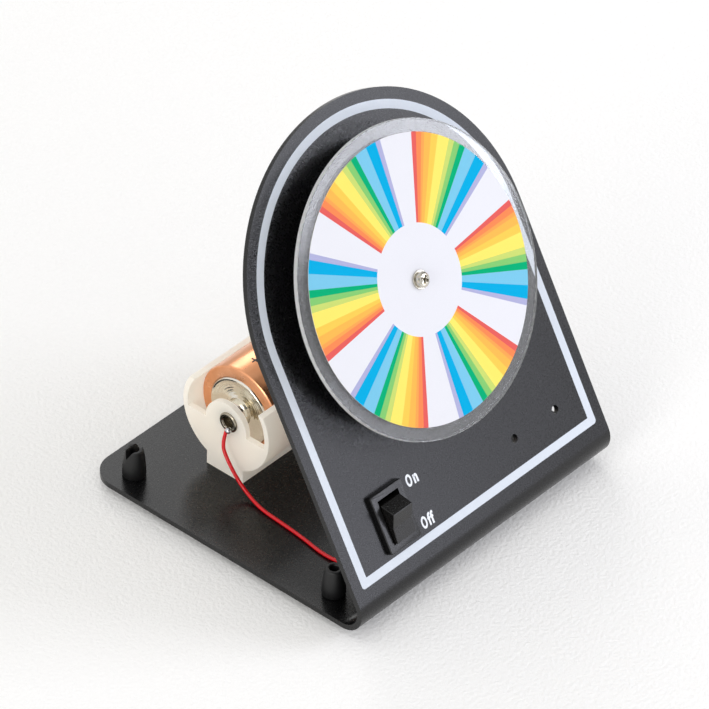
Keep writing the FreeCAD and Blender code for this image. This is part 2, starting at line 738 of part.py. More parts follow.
def make_cell():
    """The D cell: steel can with its nub, the fill, copper-coloured sleeve and negative cap."""
    length = "dims.cell_length"
    core = "dims.cell_radius - dims.cell_sleeve"
    shoulder = "dims.cell_shoulder"
    crimp = "dims.cell_crimp_radius"
    can_wall = "dims.cell_can_wall"
    fill_front = f"({shoulder} + 0.5 + {can_wall} + 0.3)"
    can = turned("cell_can", [
        ("0", "0"),
        ("0", "dims.nub_radius - dims.nub_rounding"),
        ("0.2 * dims.nub_rounding", "dims.nub_radius - 0.3 * dims.nub_rounding"),
        ("dims.nub_rounding", "dims.nub_radius"),
        (f"{shoulder} - 0.5", "dims.nub_radius"),
        (f"{shoulder} + 0.1", "dims.nub_radius + 0.7"),
        (f"{shoulder} + 0.5", "dims.nub_radius + 2.6"),
        (f"{shoulder} - 0.1", f"{crimp} - 1.9"),
        (f"{shoulder} - 0.6", f"{crimp} - 1.1"),
        (f"{shoulder} - 0.6", f"{crimp} - 0.4"),
        (f"{shoulder} - 0.2", f"{crimp} - 0.1"),
        (f"{shoulder} + 0.5", f"{crimp} - 0.1"),
        (f"{shoulder} + 0.5", core),
        (f"{length} - 1.5", core),
        (f"{length} - 1.5", f"{core} - {can_wall}"),
        (fill_front, f"{core} - {can_wall}"),
        (fill_front, "0"),
    ], role="XY_Plane", axis="H_Axis")
    place_on_cell(can)
    fill = turned("cell_fill", [
        (fill_front, "0"),
        (fill_front, f"{core} - {can_wall}"),
        (f"{length} - 1.5", f"{core} - {can_wall}"),
        (f"{length} - 1.5", "0"),
    ], role="XY_Plane", axis="H_Axis")
    place_on_cell(fill)

    def sleeve_end(along, towards):
        """Outline of the sleeve's rounded roll over one end of the can, outer points first."""
        round_radius = "dims.cell_rounding"
        return [
            (f"{along} + {towards} * {round_radius}", "dims.cell_radius"),
            (f"{along} + {towards} * 0.3 * {round_radius}", f"dims.cell_radius - 0.3 * {round_radius}"),
            (along, f"dims.cell_radius - {round_radius}"),
            (along, crimp),
        ]

    rear = f"({length} - 0.6)"
    front_points = sleeve_end(shoulder, "1")
    rear_points = sleeve_end(rear, "-1")
    sleeve = turned("cell_sleeve", front_points + [
        (f"{shoulder} + 0.5", crimp),
        (f"{shoulder} + 0.5", core),
        (f"{length} - 1.5", core),
        (f"{length} - 1.5", crimp),
    ] + rear_points[::-1], role="XY_Plane", axis="H_Axis")
    place_on_cell(sleeve)

    cap = turned("cell_negative_cap", [
        (f"{length} - 1.5", "0"),
        (f"{length} - 1.5", f"{crimp} - 0.1"),
        (f"{length} - 0.5", f"{crimp} - 0.1"),
        (f"{length} - 0.5", "dims.negative_land_radius + 1"),
        (length, "dims.negative_land_radius"),
        (length, "0"),
    ], role="XY_Plane", axis="H_Axis")
    place_on_cell(cap)
    return [can, fill, sleeve, cap]


def make_holder_fastener(side_name, side):
    """A countersunk screw that pins the cradle to the base, and the nut under the plate."""
    top = f"(dims.holder_height - {SHELL_INNER} - 0.35)"
    shank = "dims.fastener_radius"
    head = "dims.fastener_head_radius"
    screw = turned(f"holder_screw_{side_name}", [
        ("0", f"{top} - dims.fastener_length"),
        (f"{shank} - 0.3", f"{top} - dims.fastener_length"),
        (shank, f"{top} - dims.fastener_length + 0.3"),
        (shank, f"{top} - ({head} - {shank})"),
        (head, top),
        ("0", top),
    ])
    across = f"dims.holder_left + {HOLDER_LENGTH} / 2 + {side} * dims.fastener_spacing / 2"
    place(screw, across, "dims.holder_back", PLATE_TOP)
    nut = new_body(f"holder_nut_{side_name}")
    sketch = new_sketch(nut, "XY_Plane", "hexagon")
    flat = "dims.nut_across_flats / sqrt(3)"
    draw_outline(sketch, [
        (f"{flat} * cos({60 * corner} * 1deg)", f"{flat} * sin({60 * corner} * 1deg)")
        for corner in range(6)
    ])
    draw_circle(sketch, "0", "0", "dims.fastener_radius + dims.fastener_clearance / 2")
    add_feature(nut, "Pad", "blank", sketch, "dims.nut_height", flipped=True)
    place(nut, across, "dims.holder_back", "dims.foot_height")
    return [screw, nut]


def on_motor_axis(obj, out="0"):
    place_on_panel(obj, "0", "dims.arch_height", out)


def make_motor_can():
    """The drawn steel can: closed front with its bearing boss, open rear, two tapped holes."""
    front = MOTOR_FRONT
    outer = "dims.motor_radius"
    boss = "dims.motor_boss_radius"
    boss_front = f"({front} + dims.motor_boss_height)"
    can = turned("motor_can", [
        ("dims.bushing_radius", boss_front),
        (f"{boss} - 0.3", boss_front),
        (boss, f"{boss_front} - 0.3"),
        (boss, front),
        (f"{outer} - 1", front),
        (f"{outer} - 0.3", f"{front} - 0.3"),
        (outer, f"{front} - 1"),
        (outer, MOTOR_REAR),
        (CAN_BORE, MOTOR_REAR),
        (CAN_BORE, f"{front} - dims.motor_wall"),
        ("dims.bushing_radius", f"{front} - dims.motor_wall"),
    ])
    on_motor_axis(can)
    holes = new_sketch(can, "XY_Plane", "tapped_holes")
    for side in (-1, 1):
        draw_circle(holes, f"{side} * dims.motor_screw_spacing / 2", "0", "dims.motor_screw_radius")
    holes_depth = f"dims.sheet_thickness + 2 * dims.motor_wall"
    pocket(can, "tapped_cut", holes, holes_depth)
    return can


def make_motor_cap():
    """The moulded rear cap, which carries the rear bushing and the two terminals."""
    boss_rear = f"({MOTOR_REAR} - dims.cap_boss_height)"
    plug = f"({CAN_BORE} - 0.05)"
    cap = turned("motor_cap", [
        ("dims.bushing_radius", boss_rear),
        ("dims.cap_boss_radius - 0.4", boss_rear),
        ("dims.cap_boss_radius", f"{boss_rear} + 0.4"),
        ("dims.cap_boss_radius", MOTOR_REAR),
        (plug, MOTOR_REAR),
        (plug, f"{MOTOR_REAR} + dims.cap_thickness"),
        ("dims.bushing_radius", f"{MOTOR_REAR} + dims.cap_thickness"),
    ])
    on_motor_axis(cap)
    slots = new_sketch(cap, "XY_Plane", "terminal_slots", MOTOR_REAR)
    for side in (-1, 1):
        draw_box(slots, "0", f"{side} * ({BRUSH_OFFSET})", "dims.tab_width + 0.1",
                 "dims.brush_thickness + 0.1")
    pocket(cap, "terminal_slots_cut", slots, "dims.cap_thickness", flipped=True)
    return cap


BRUSH_OFFSET = "dims.commutator_radius + dims.brush_gap + 3.2"


def make_magnets():
    """Two curved magnets against the can's wall, one each side of the armature."""
    magnets = []
    outer = f"({CAN_BORE} - 0.05)"
    inner = f"({CAN_BORE} - dims.magnet_thickness)"
    middle = f"({CORE_FRONT} - dims.core_length / 2)"
    for name, turn in (("upper", 90), ("lower", -90)):
        body = new_body(f"motor_magnet_{name}")
        sketch = new_sketch(body, "XY_Plane", "arc", f"{middle} - dims.magnet_length / 2")
        start = f"({turn} - dims.magnet_angle / 2) * 1deg"
        end = f"({turn} + dims.magnet_angle / 2) * 1deg"
        draw_outline(sketch, [
            (f"{outer} * cos({start})", f"{outer} * sin({start})", "0", "0", 1),
            (f"{outer} * cos({end})", f"{outer} * sin({end})"),
            (f"{inner} * cos({end})", f"{inner} * sin({end})", "0", "0", -1),
            (f"{inner} * cos({start})", f"{inner} * sin({start})"),
        ])
        add_feature(body, "Pad", "block", sketch, "dims.magnet_length")
        on_motor_axis(body)
        magnets.append(body)
    return magnets


def make_bushing(name, rear):
    """A sintered bush pressed into its boss, with the shaft's running fit in its bore."""
    bore = "dims.shaft_radius + dims.shaft_fit"
    body = turned(name, [
        (bore, rear),
        ("dims.bushing_radius", rear),
        ("dims.bushing_radius", f"{rear} + dims.bushing_length"),
        (bore, f"{rear} + dims.bushing_length"),
    ])
    on_motor_axis(body)
    return body


def make_armature():
    """The turning set inside the motor: shaft, three-pole core, its coils and the commutator."""
    rear_end = f"({MOTOR_REAR} - dims.cap_boss_height + 0.4)"
    front_end = "dims.shaft_front"
    radius = "dims.shaft_radius"
    shaft = turned("motor_shaft", [
        ("0", rear_end),
        (f"{radius} - 0.2", rear_end),
        (radius, f"{rear_end} + 0.2"),
        (radius, f"{front_end} - 0.2"),
        (f"{radius} - 0.2", front_end),
        ("0", front_end),
    ])
    on_motor_axis(shaft)

    core = new_body("armature_core")
    hub = new_sketch(core, "XY_Plane", "hub", CORE_REAR)
    draw_circle(hub, "0", "0", "dims.core_hub_radius")
    draw_circle(hub, "0", "0", radius)
    add_feature(core, "Pad", "hub_pad", hub, "dims.core_length")
    pole = new_sketch(core, "XY_Plane", "pole", CORE_REAR)
    shoe_inner = f"({CORE_RADIUS} - dims.core_shoe_thickness)"
    half_angle = "dims.core_shoe_angle / 2"
    neck = "dims.core_neck_width / 2"
    root = "(dims.core_hub_radius * 0.8)"
    low = f"(90 - {half_angle}) * 1deg"
    high = f"(90 + {half_angle}) * 1deg"
    neck_top = f"sqrt({shoe_inner} ^ 2 - ({neck}) ^ 2)"
    draw_outline(pole, [
        (f"-{neck}", root),
        (neck, root),
        (neck, neck_top, "0", "0", -1),
        (f"{shoe_inner} * cos({low})", f"{shoe_inner} * sin({low})"),
        (f"{CORE_RADIUS} * cos({low})", f"{CORE_RADIUS} * sin({low})", "0", "0", 1),
        (f"{CORE_RADIUS} * cos({high})", f"{CORE_RADIUS} * sin({high})"),
        (f"{shoe_inner} * cos({high})", f"{shoe_inner} * sin({high})", "0", "0", -1),
        (f"-{neck}", neck_top),
    ])
    pole_pad = add_feature(core, "Pad", "pole_pad", pole, "dims.core_length")
    repeat_about_axis(core, pole_pad, 3)
    on_motor_axis(core)

    coils = new_body("armature_coils")
    overhang = "dims.coil_overhang"
    loop = new_sketch(coils, "XY_Plane", "coil", f"{CORE_REAR} - {overhang}")
    low_side = "(dims.core_hub_radius + 0.4)"
    high_side = f"({shoe_inner} - 0.9)"
    draw_outline(loop, [
        ("-dims.coil_width / 4", low_side),
        ("dims.coil_width / 4", low_side),
        ("dims.coil_width / 2", high_side),
        ("-dims.coil_width / 2", high_side),
    ])
    block = add_feature(coils, "Pad", "coil_pad", loop, f"dims.core_length + 2 * {overhang}")
    doc.recompute()
    window = new_sketch(coils, "XY_Plane", "window", f"{CORE_REAR} - 0.05")
    draw_box(window, "0", "0", "dims.core_neck_width + 0.1", f"2 * {CORE_RADIUS}")
    window_cut = add_feature(coils, "Pocket", "window_cut", window, "dims.core_length + 0.1", flipped=True)
    repeat_about_axis(coils, [block, window_cut], 3)
    on_motor_axis(coils)

    commutator_front = f"({CORE_REAR} - {overhang} - 0.4)"
    commutator = turned("commutator", [
        (radius, f"{commutator_front} - dims.commutator_length"),
        ("dims.commutator_radius", f"{commutator_front} - dims.commutator_length"),
        ("dims.commutator_radius", commutator_front),
        (radius, commutator_front),
    ])
    slot = new_sketch(commutator, "XY_Plane", "slot", commutator_front)
    draw_box(slot, "0", "dims.commutator_radius", "dims.commutator_slot",
             "2 * (dims.commutator_radius - dims.shaft_radius) - 0.8")
    slot_cut = pocket(commutator, "slot_cut", slot, "dims.commutator_length + 1")
    repeat_about_axis(commutator, slot_cut, 3)
    on_motor_axis(commutator)
    return [shaft, core, coils, commutator]


def repeat_about_axis(body, originals, count):
    """Repeat features evenly about the body's own upright axis."""
    doc.recompute()
    features = originals if isinstance(originals, list) else [originals]
    pattern = body.newObject("PartDesign::PolarPattern", f"{body.Name}_pattern")
    pattern.Originals = features
    axis = next(item for item in body.Origin.OriginFeatures if item.Role == "Z_Axis")
    pattern.Axis = (axis, [""])
    pattern.Angle = 360
    pattern.Occurrences = count
    body.Tip = pattern
    doc.recompute()
    return pattern


def make_brushes():
    """Two brush springs beside the commutator, each one strip with its outside terminal."""
    brushes = []
    tip_front = f"({CORE_REAR} - dims.coil_overhang - 1.2)"
    arm_rear = f"({MOTOR_REAR} + dims.cap_thickness)"
    tail = f"({MOTOR_REAR} - dims.tab_length)"
    near = "(dims.commutator_radius + dims.brush_gap)"
    far = f"({BRUSH_OFFSET})"
    thick = "dims.brush_thickness"
    for name, side in (("upper", 1), ("lower", -1)):
        body = new_body(f"motor_brush_{name}")
        sketch = new_sketch(body, "YZ_Plane", "strip")
        draw_outline(sketch, [
            (f"{side} * {near}", tip_front),
            (f"{side} * ({near} + {thick})", tip_front),
            (f"{side} * ({near} + {thick})", f"{tip_front} - 2"),
            (f"{side} * ({far} + {thick} / 2)", arm_rear),
            (f"{side} * ({far} + {thick} / 2)", tail),
            (f"{side} * ({far} - {thick} / 2)", tail),
            (f"{side} * ({far} - {thick} / 2)", f"{arm_rear} + 0.1"),
            (f"{side} * {near}", f"{tip_front} - 2.1"),
        ])
        add_feature(body, "Pad", "strip_pad", sketch, "dims.brush_width", both_ways=True)
        on_motor_axis(body)
        brushes.append(body)
    return brushes


def make_pan_screw(name, radius, head_radius, head_height, length, seat, across="0"):
    """A pan-head screw with a domed head and a cross recess; its head seats at the given height."""
    crown = f"({seat} + {head_height})"
    body = turned(name, [
        ("0", f"{seat} - {length}"),
        (f"{radius} - 0.3", f"{seat} - {length}"),
        (radius, f"{seat} - {length} + 0.3"),
        (radius, seat),
        (head_radius, seat),
        (head_radius, f"{seat} + 0.45 * {head_height}"),
        (f"0.93 * {head_radius}", f"{seat} + 0.72 * {head_height}"),
        (f"0.7 * {head_radius}", f"{seat} + 0.93 * {head_height}"),
        (f"0.4 * {head_radius}", crown),
        ("0", crown),
    ])
    scale = f"{head_radius} / dims.disc_screw_head_radius"
    for index, turn in enumerate(("dims.recess_turn", "(dims.recess_turn + 90)")):
        recess = new_sketch(body, "XY_Plane", f"recess_{index}", crown)
        draw_bar(recess, f"dims.recess_length * {scale}", f"dims.recess_width * {scale}", turn)
        pocket(body, f"recess_cut_{index}", recess, f"dims.recess_depth * {scale}")
    place_on_panel(body, across, "dims.arch_height")
    return body


def make_hub():
    """The turned hub: pressed on the shaft from behind, tapped in front, flange behind the disc."""
    rear = "dims.hub_gap"
    front = "dims.disc_standoff"
    sleeve = "dims.hub_radius"
    flange = "dims.hub_flange_radius"
    flange_rear = f"({front} - dims.hub_flange_thickness)"
    web_rear = "(dims.shaft_front + 0.1)"
    tap_end = f"({LABEL_FRONT} + dims.washer_thickness - dims.disc_screw_length - 0.3)"
    hub = turned("hub", [
        ("dims.shaft_radius", rear),
        (f"{sleeve} - 0.4", rear),
        (sleeve, f"{rear} + 0.4"),
        (sleeve, f"{flange_rear} - 1"),
        (f"{sleeve} + 1", flange_rear),
        (f"{flange} - 0.3", flange_rear),
        (flange, f"{flange_rear} + 0.3"),
        (flange, front),
        ("dims.disc_screw_radius", front),
        ("dims.disc_screw_radius", tap_end),
        ("0", tap_end),
        ("0", web_rear),
        ("dims.shaft_radius", web_rear),
    ])
    on_motor_axis(hub)
    return hub


def make_disc_stack():
    """The clear disc, the paper label on its front, the washer and the centre screw."""
    bore = "dims.disc_screw_radius + dims.disc_screw_clearance"
    edge = "dims.disc_edge"
    disc = turned("clear_disc", [
        (bore, "dims.disc_standoff"),
        (f"dims.disc_radius - {edge}", "dims.disc_standoff"),
        ("dims.disc_radius", f"dims.disc_standoff + {edge}"),
        ("dims.disc_radius", f"{DISC_FRONT} - {edge}"),
        (f"dims.disc_radius - {edge}", DISC_FRONT),
        (bore, DISC_FRONT),
    ])
    label = turned("colour_label", [
        (bore, DISC_FRONT),
        ("dims.label_radius", DISC_FRONT),
        ("dims.label_radius", LABEL_FRONT),
        (bore, LABEL_FRONT),
    ])
    washer = turned("disc_washer", [
        (bore, LABEL_FRONT),
        ("dims.washer_radius", LABEL_FRONT),
        ("dims.washer_radius", f"{LABEL_FRONT} + dims.washer_thickness"),
        (bore, f"{LABEL_FRONT} + dims.washer_thickness"),
    ])
    for piece in (disc, label, washer):
        on_motor_axis(piece)
    screw = make_pan_screw("disc_screw", "dims.disc_screw_radius", "dims.disc_screw_head_radius",
                           "dims.disc_screw_head_height", "dims.disc_screw_length",
                           f"({LABEL_FRONT} + dims.washer_thickness)")
    return [disc, label, washer, screw]


def make_switch_housing():
    """The moulded switch body: bezel, well for the rocker, pivot sockets and snap-in catches."""
    body = new_body("switch_housing")
    place_on_panel(body, "dims.switch_side", "dims.switch_height")
    bezel = new_sketch(body, "XY_Plane", "bezel")
    draw_box(bezel, "0", "0", "dims.bezel_width", "dims.bezel_length")
    add_feature(body, "Pad", "bezel_pad", bezel, "dims.bezel_thickness")

    def upright(middle, direction):
        return abs(direction.z) > 0.9

    dress_edges(body, "Fillet", "bezel_corners", upright, "Radius", "dims.bezel_rounding")
    front = number("dims.bezel_thickness")
    dress_edges(body, "Chamfer", "bezel_edges", lambda middle, direction: middle.z > front - 0.01,
                "Size", "dims.bezel_edge")

    case = new_sketch(body, "XY_Plane", "case")
    draw_box(case, "0", "0", "dims.switch_body_width", "dims.switch_body_length")
    add_feature(body, "Pad", "case_pad", case, "dims.switch_body_depth", flipped=True)

    mouth = new_sketch(body, "XY_Plane", "mouth", "dims.bezel_thickness")
    draw_box(mouth, "0", "0", "dims.mouth_width", "dims.mouth_length")
    pocket(body, "mouth_cut", mouth, "dims.lip_depth + dims.bezel_thickness")
    well = new_sketch(body, "XY_Plane", "well", "dims.bezel_thickness - dims.lip_depth")
    draw_box(well, "0", "0", "dims.mouth_width", "dims.well_length")
    pocket(body, "well_cut", well, "dims.well_depth")

    socket = new_sketch(body, "YZ_Plane", "pivot_socket")
    draw_circle(socket, "0", "-dims.pivot_depth", "dims.pivot_radius + dims.pivot_fit")
    pocket(body, "pivot_socket_cut", socket, "dims.mouth_width + 2 * (dims.pivot_reach + 0.1)",
           both_ways=True)

    slots = new_sketch(body, "XY_Plane", "terminal_slots", "-dims.switch_body_depth")
    for name in ("upper", "lower"):
        draw_box(slots, "0", f"dims.{name}_terminal_side", "dims.terminal_width",
                 "dims.terminal_thickness")
    pocket(body, "terminal_slots_cut", slots, "dims.terminal_root", flipped=True)

    catch = new_sketch(body, "YZ_Plane", "catch")
    case_end = "dims.switch_body_length / 2"
    top = "(-dims.sheet_thickness - dims.catch_gap)"
    for side in (-1, 1):
        draw_outline(catch, [
            (f"{side} * ({case_end} - 0.2)", top),
            (f"{side} * ({case_end} + dims.catch_reach)", top),
            (f"{side} * ({case_end} + dims.catch_reach)", f"{top} - 1"),
            (f"{side} * {case_end}", f"{top} - dims.catch_length"),
            (f"{side} * ({case_end} - 0.2)", f"{top} - dims.catch_length"),
        ])
    add_feature(body, "Pad", "catches", catch, "dims.catch_width", both_ways=True)
    return body


def make_rocker():
    """The rocker, at rest with its off end down: two sloping faces, a crease and two pivots."""
    body = new_body("rocker")
    place_on_panel(body, "dims.switch_side", "dims.switch_height", "-dims.pivot_depth", "dims.rocker_tilt")
    outline = new_sketch(body, "YZ_Plane", "side")
    draw_outline(outline, [
        ("-dims.rocker_ridge", "dims.rocker_ridge_rise"),
        ("0", "dims.rocker_crease_rise"),
        ("dims.rocker_ridge", "dims.rocker_ridge_rise"),
        ("dims.rocker_toe", "dims.rocker_toe_rise"),
        ("dims.rocker_heel", "0"),
        ("dims.rocker_keel", "-dims.rocker_keel_drop"),
        ("-dims.rocker_keel", "-dims.rocker_keel_drop"),
        ("-dims.rocker_heel", "0"),
        ("-dims.rocker_toe", "dims.rocker_toe_rise"),
    ])
    width = "(dims.mouth_width - 2 * dims.rocker_clearance)"
    add_feature(body, "Pad", "side_pad", outline, width, both_ways=True)
    pivots = new_sketch(body, "YZ_Plane", "pivots")
    draw_circle(pivots, "0", "0", "dims.pivot_radius")
    add_feature(body, "Pad", "pivots_pad", pivots,
                "dims.mouth_width + 2 * dims.pivot_reach", both_ways=True)
    return body


def make_terminals():
    """Two blade terminals out of the back of the switch, each with its wire hole."""
    terminals = []
    for name in ("upper", "lower"):
        body = new_body(f"switch_terminal_{name}")
        sketch = new_sketch(body, "XZ_Plane", "blade")
        root = "(-dims.switch_body_depth + dims.terminal_root)"
        tip = "(-dims.switch_body_depth - dims.terminal_length)"
        half = "dims.terminal_width / 2"
        draw_outline(sketch, [
            (f"-{half}", root),
            (f"-{half}", f"{tip} + 0.8"),
            (f"-{half} + 0.8", tip),
            (f"{half} - 0.8", tip),
            (half, f"{tip} + 0.8"),
            (half, root),
        ])
        draw_circle(sketch, "0", f"{tip} + dims.terminal_hole_inset", "dims.terminal_hole_radius")
        add_feature(body, "Pad", "blade_pad", sketch, "dims.terminal_thickness", both_ways=True)
        place_on_panel(body, "dims.switch_side", f"dims.switch_height + dims.{name}_terminal_side")
        terminals.append(body)
    return terminals


def make_solder():
    """The two soldered joints at the lead's ends: a blob in the eyelet's mouth and a small cone."""
    blob = doc.addObject("Part::Sphere", "eyelet_solder")
    blob.Label = "eyelet_solder"
    bind(blob, "Radius", "dims.solder_radius")
    place(blob, "dims.holder_left - dims.eyelet_curl - dims.solder_stand",
          "dims.holder_back + dims.eyelet_side + dims.solder_side",
          f"{PLATE_TOP} + dims.holder_height + dims.eyelet_rise - dims.solder_drop")
    cone = turned("terminal_solder", [
        ("dims.lead_radius", "0"),
        ("dims.solder_cone_radius", "0"),
        ("dims.solder_cone_radius - 0.4", "-dims.solder_cone_height / 2"),
        ("dims.lead_radius + 0.1", "-dims.solder_cone_height"),
        ("dims.lead_radius", "-dims.solder_cone_height"),
    ])
    joint_slope = "dims.switch_height + dims.lower_terminal_side - dims.terminal_thickness / 2"
    joint_out = "dims.terminal_hole_inset - dims.switch_body_depth - dims.terminal_length"
    place_on_panel(cone, "dims.switch_side", joint_slope, joint_out, "-90")
    return [blob, cone]


def rounded_path(points):
    """Straight runs joined by tangent arcs, each as large as its two runs allow."""
    corners = [FreeCAD.Vector(*point) for point in points]
    edges = []
    radii = []
    last = corners[0]
    for before, corner, after in zip(corners, corners[1:], corners[2:]):
        inward = (before - corner).normalize()
        outward = (after - corner).normalize()
        half_turn = (math.pi - inward.getAngle(outward)) / 2
        cut = ARC_SHARE * min(before.distanceToPoint(corner), after.distanceToPoint(corner))
        radius = cut / math.tan(half_turn)
        begin = corner + inward * cut
        end = corner + outward * cut
        towards_centre = (inward + outward).normalize()
        centre = corner + towards_centre * (radius / math.cos(half_turn))
        middle = centre - towards_centre * radius
        edges.append(Part.LineSegment(last, begin).toShape())
        edges.append(Part.Arc(begin, middle, end).toShape())
        radii.append(radius)
        last = end
    edges.append(Part.LineSegment(last, corners[-1]).toShape())
    return Part.Wire(edges), radii


def make_lead():
    """The red lead, a tube along its rounded route."""
    path, radii = rounded_path(LEAD_ROUTE)
    radius = number("dims.lead_radius")
    start = FreeCAD.Vector(*LEAD_ROUTE[0])
    direction = FreeCAD.Vector(*LEAD_ROUTE[1]) - start
    section = Part.Wire(Part.makeCircle(radius, start, direction))
    tube = path.makePipeShell([section], True, True)
    expected = math.pi * radius ** 2 * path.Length
    print("lead radii:", " ".join(f"{value:.1f}" for value in radii))
    print(f"lead length {path.Length:.1f} volume {tube.Volume:.1f} expected {expected:.1f}")
    lead = doc.addObject("Part::Feature", "red_lead")
    lead.Label = "red_lead"
    lead.Shape = tube
    lead.Placement = FreeCAD.Placement()
    return lead


def build_all():
    """Make every sub-part, in the order in which the object goes together."""
    pieces = [make_stand()]
    for name, (side, row) in FEET.items():
        pieces.append(make_foot(name, side, row))
    pieces.append(make_battery_holder())
    far_end = HOLDER_LENGTH
    wall = "dims.holder_end_wall"
    pieces.append(make_eyelet("positive_eyelet", "0", False))
    pieces.append(make_eyelet("negative_eyelet", far_end, True))
    pieces.append(make_contact("positive_contact", "dims.positive_plate_radius", wall, False))
    pieces.append(make_contact("negative_contact", "dims.negative_plate_radius",
                               f"{far_end} - {wall}", True))
    pieces.append(make_spring())
    pieces += make_cell()
    for side_name, side in (("left", -1), ("right", 1)):
        pieces += make_holder_fastener(side_name, side)
    pieces.append(make_motor_can())
    pieces.append(make_motor_cap())
    pieces += make_magnets()
    boss_front = f"({MOTOR_FRONT} + dims.motor_boss_height)"
    pieces.append(make_bushing("front_bushing", f"({boss_front} - dims.bushing_length)"))
    pieces.append(make_bushing("rear_bushing", f"({MOTOR_REAR} - dims.cap_boss_height + 0.8)"))
    pieces += make_armature()
    pieces += make_brushes()
    for side_name, side in (("left", -1), ("right", 1)):
        pieces.append(make_pan_screw(f"motor_screw_{side_name}", "dims.motor_screw_radius",
                                     "dims.motor_screw_head_radius", "dims.motor_screw_head_height",
                                     "dims.motor_screw_length", "0",
                                     f"{side} * dims.motor_screw_spacing / 2"))
    pieces.append(make_hub())
    pieces += make_disc_stack()
    pieces.append(make_switch_housing())
    pieces.append(make_rocker())
    pieces += make_terminals()
    pieces += make_solder()
    pieces.append(make_lead())
    return pieces


def check_and_export(pieces):
    """Stop on any failed feature or bad shape, and write each sub-part to its own file."""
    doc.recompute()
    for obj in doc.Objects:
        if "Invalid" in obj.State or "Error" in obj.State:
            raise RuntimeError(f"{obj.Name} failed: {obj.State}")
    os.makedirs("parts", exist_ok=True)
    for piece in pieces:
        if piece.Shape.isNull() or not piece.Shape.isValid():
            raise RuntimeError(f"{piece.Label} has no valid shape")
    for piece in pieces:
        piece.Shape.exportStep(f"parts/{piece.Label}.step")
    print(f"{len(pieces)} sub-parts written")


def main():
    fill_sheet()
    check_and_export(build_all())


main()
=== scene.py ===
import logging
import math
from collections.abc import Callable, Iterable, Sequence
from dataclasses import dataclass
from enum import Enum
from functools import cache

import bmesh
import bpy
from mathutils import Matrix, Vector


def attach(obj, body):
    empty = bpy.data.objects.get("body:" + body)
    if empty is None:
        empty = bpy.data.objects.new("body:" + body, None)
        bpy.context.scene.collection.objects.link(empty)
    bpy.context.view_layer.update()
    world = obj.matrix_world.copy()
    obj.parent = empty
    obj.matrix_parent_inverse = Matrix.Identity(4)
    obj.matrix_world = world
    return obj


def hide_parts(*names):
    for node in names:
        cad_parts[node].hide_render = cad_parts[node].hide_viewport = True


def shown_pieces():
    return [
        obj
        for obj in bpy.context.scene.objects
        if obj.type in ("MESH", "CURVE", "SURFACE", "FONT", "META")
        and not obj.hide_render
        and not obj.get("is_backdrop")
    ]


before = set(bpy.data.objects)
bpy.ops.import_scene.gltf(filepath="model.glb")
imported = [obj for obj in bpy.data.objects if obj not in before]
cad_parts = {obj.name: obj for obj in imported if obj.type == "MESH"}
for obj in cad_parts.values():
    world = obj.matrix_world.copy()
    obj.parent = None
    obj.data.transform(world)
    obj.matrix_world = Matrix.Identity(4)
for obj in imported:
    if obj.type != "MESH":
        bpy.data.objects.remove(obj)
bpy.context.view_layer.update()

LOG = logging.getLogger("newton_disc")

# Sizes are in millimetres. Blender's own lengths are in metres.
MM = 0.001
LEAN = math.radians(60.0)
SHEET = 2.0
BEND_OUTER = 8.4
STAND_DEPTH = 128.0
FOOT_HEIGHT = 3.0
BEND_CENTRE = BEND_OUTER / math.tan(LEAN / 2)
ORIGIN_BACK = (BEND_CENTRE - BEND_OUTER + STAND_DEPTH) / 2
ARCH_HEIGHT = 101.5
HOLDER_BACK = 93.6
HOLDER_SCREWS = (-18.75, 25.25)
# How far a cutter stands out of what it cuts.
PAST = 1.0
# How deep light goes into cloudy plastic.
LIGHT_DEPTH = 2.5
# An edge looks sharp from the first angle on, and is rounded from the second.
CREASE_DEG = 30.0
ROUNDED_DEG = 32.0
# Both lay a shape that was drawn up z along the fold: one by its axes, one by a quarter turn.
ALONG_FOLD = Matrix(((0, 0, 1, 0), (1, 0, 0, 0), (0, 1, 0, 0), (0, 0, 0, 1)))
QUARTER_TURN = Matrix.Rotation(math.radians(90), 4, "Y")

Point = tuple[float, float, float]
Pair = tuple[float, float]
Socket = bpy.types.NodeSocket


class Body(Enum):
    """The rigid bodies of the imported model."""

    STAND = "stand_body"
    SPINNER = "spinner"
    ROCKER = "switch_rocker"


class Combining(Enum):
    """How one blank acts on another."""

    JOIN = "UNION"
    CUT = "DIFFERENCE"


def stand_frame() -> Matrix:
    """Gives the matrix from the folded sheet's frame, z up from its underside, to the row frame."""
    return Matrix.Scale(MM, 4) @ Matrix.Translation((0.0, -ORIGIN_BACK, FOOT_HEIGHT))


def panel_frame(across: float, slope: float) -> Matrix:
    """Gives a frame on the panel's front, from its place along the fold and up the slope."""
    lean = Matrix.Rotation(LEAN, 4, "X")
    return stand_frame() @ lean @ Matrix.Translation((across, slope, 0.0))


def spinner_frame() -> Matrix:
    """Gives the frame of the disc's axis, with z out of the panel."""
    return panel_frame(0.0, ARCH_HEIGHT)


def linear(code: str) -> tuple[float, float, float, float]:
    """Turns an sRGB hex value into linear colour.

    Args:
        code: Six hex digits after a hash sign.

    Returns:
        Red, green, blue and alpha for a shader socket.
    """
    parts = [int(code[index:index + 2], 16) / 255 for index in (1, 3, 5)]
    curve = [part / 12.92 if part <= 0.04045 else ((part + 0.055) / 1.055) ** 2.4 for part in parts]
    return curve[0], curve[1], curve[2], 1.0


def placed(name: str, data: bpy.types.ID) -> bpy.types.Object:
    """Makes an object and puts it in the scene.

    Args:
        name: The object's name.
        data: Its mesh, curve, light or camera.

    Returns:
        The new object.
    """
    item = bpy.data.objects.new(name, data)
    bpy.context.scene.collection.objects.link(item)
    return item


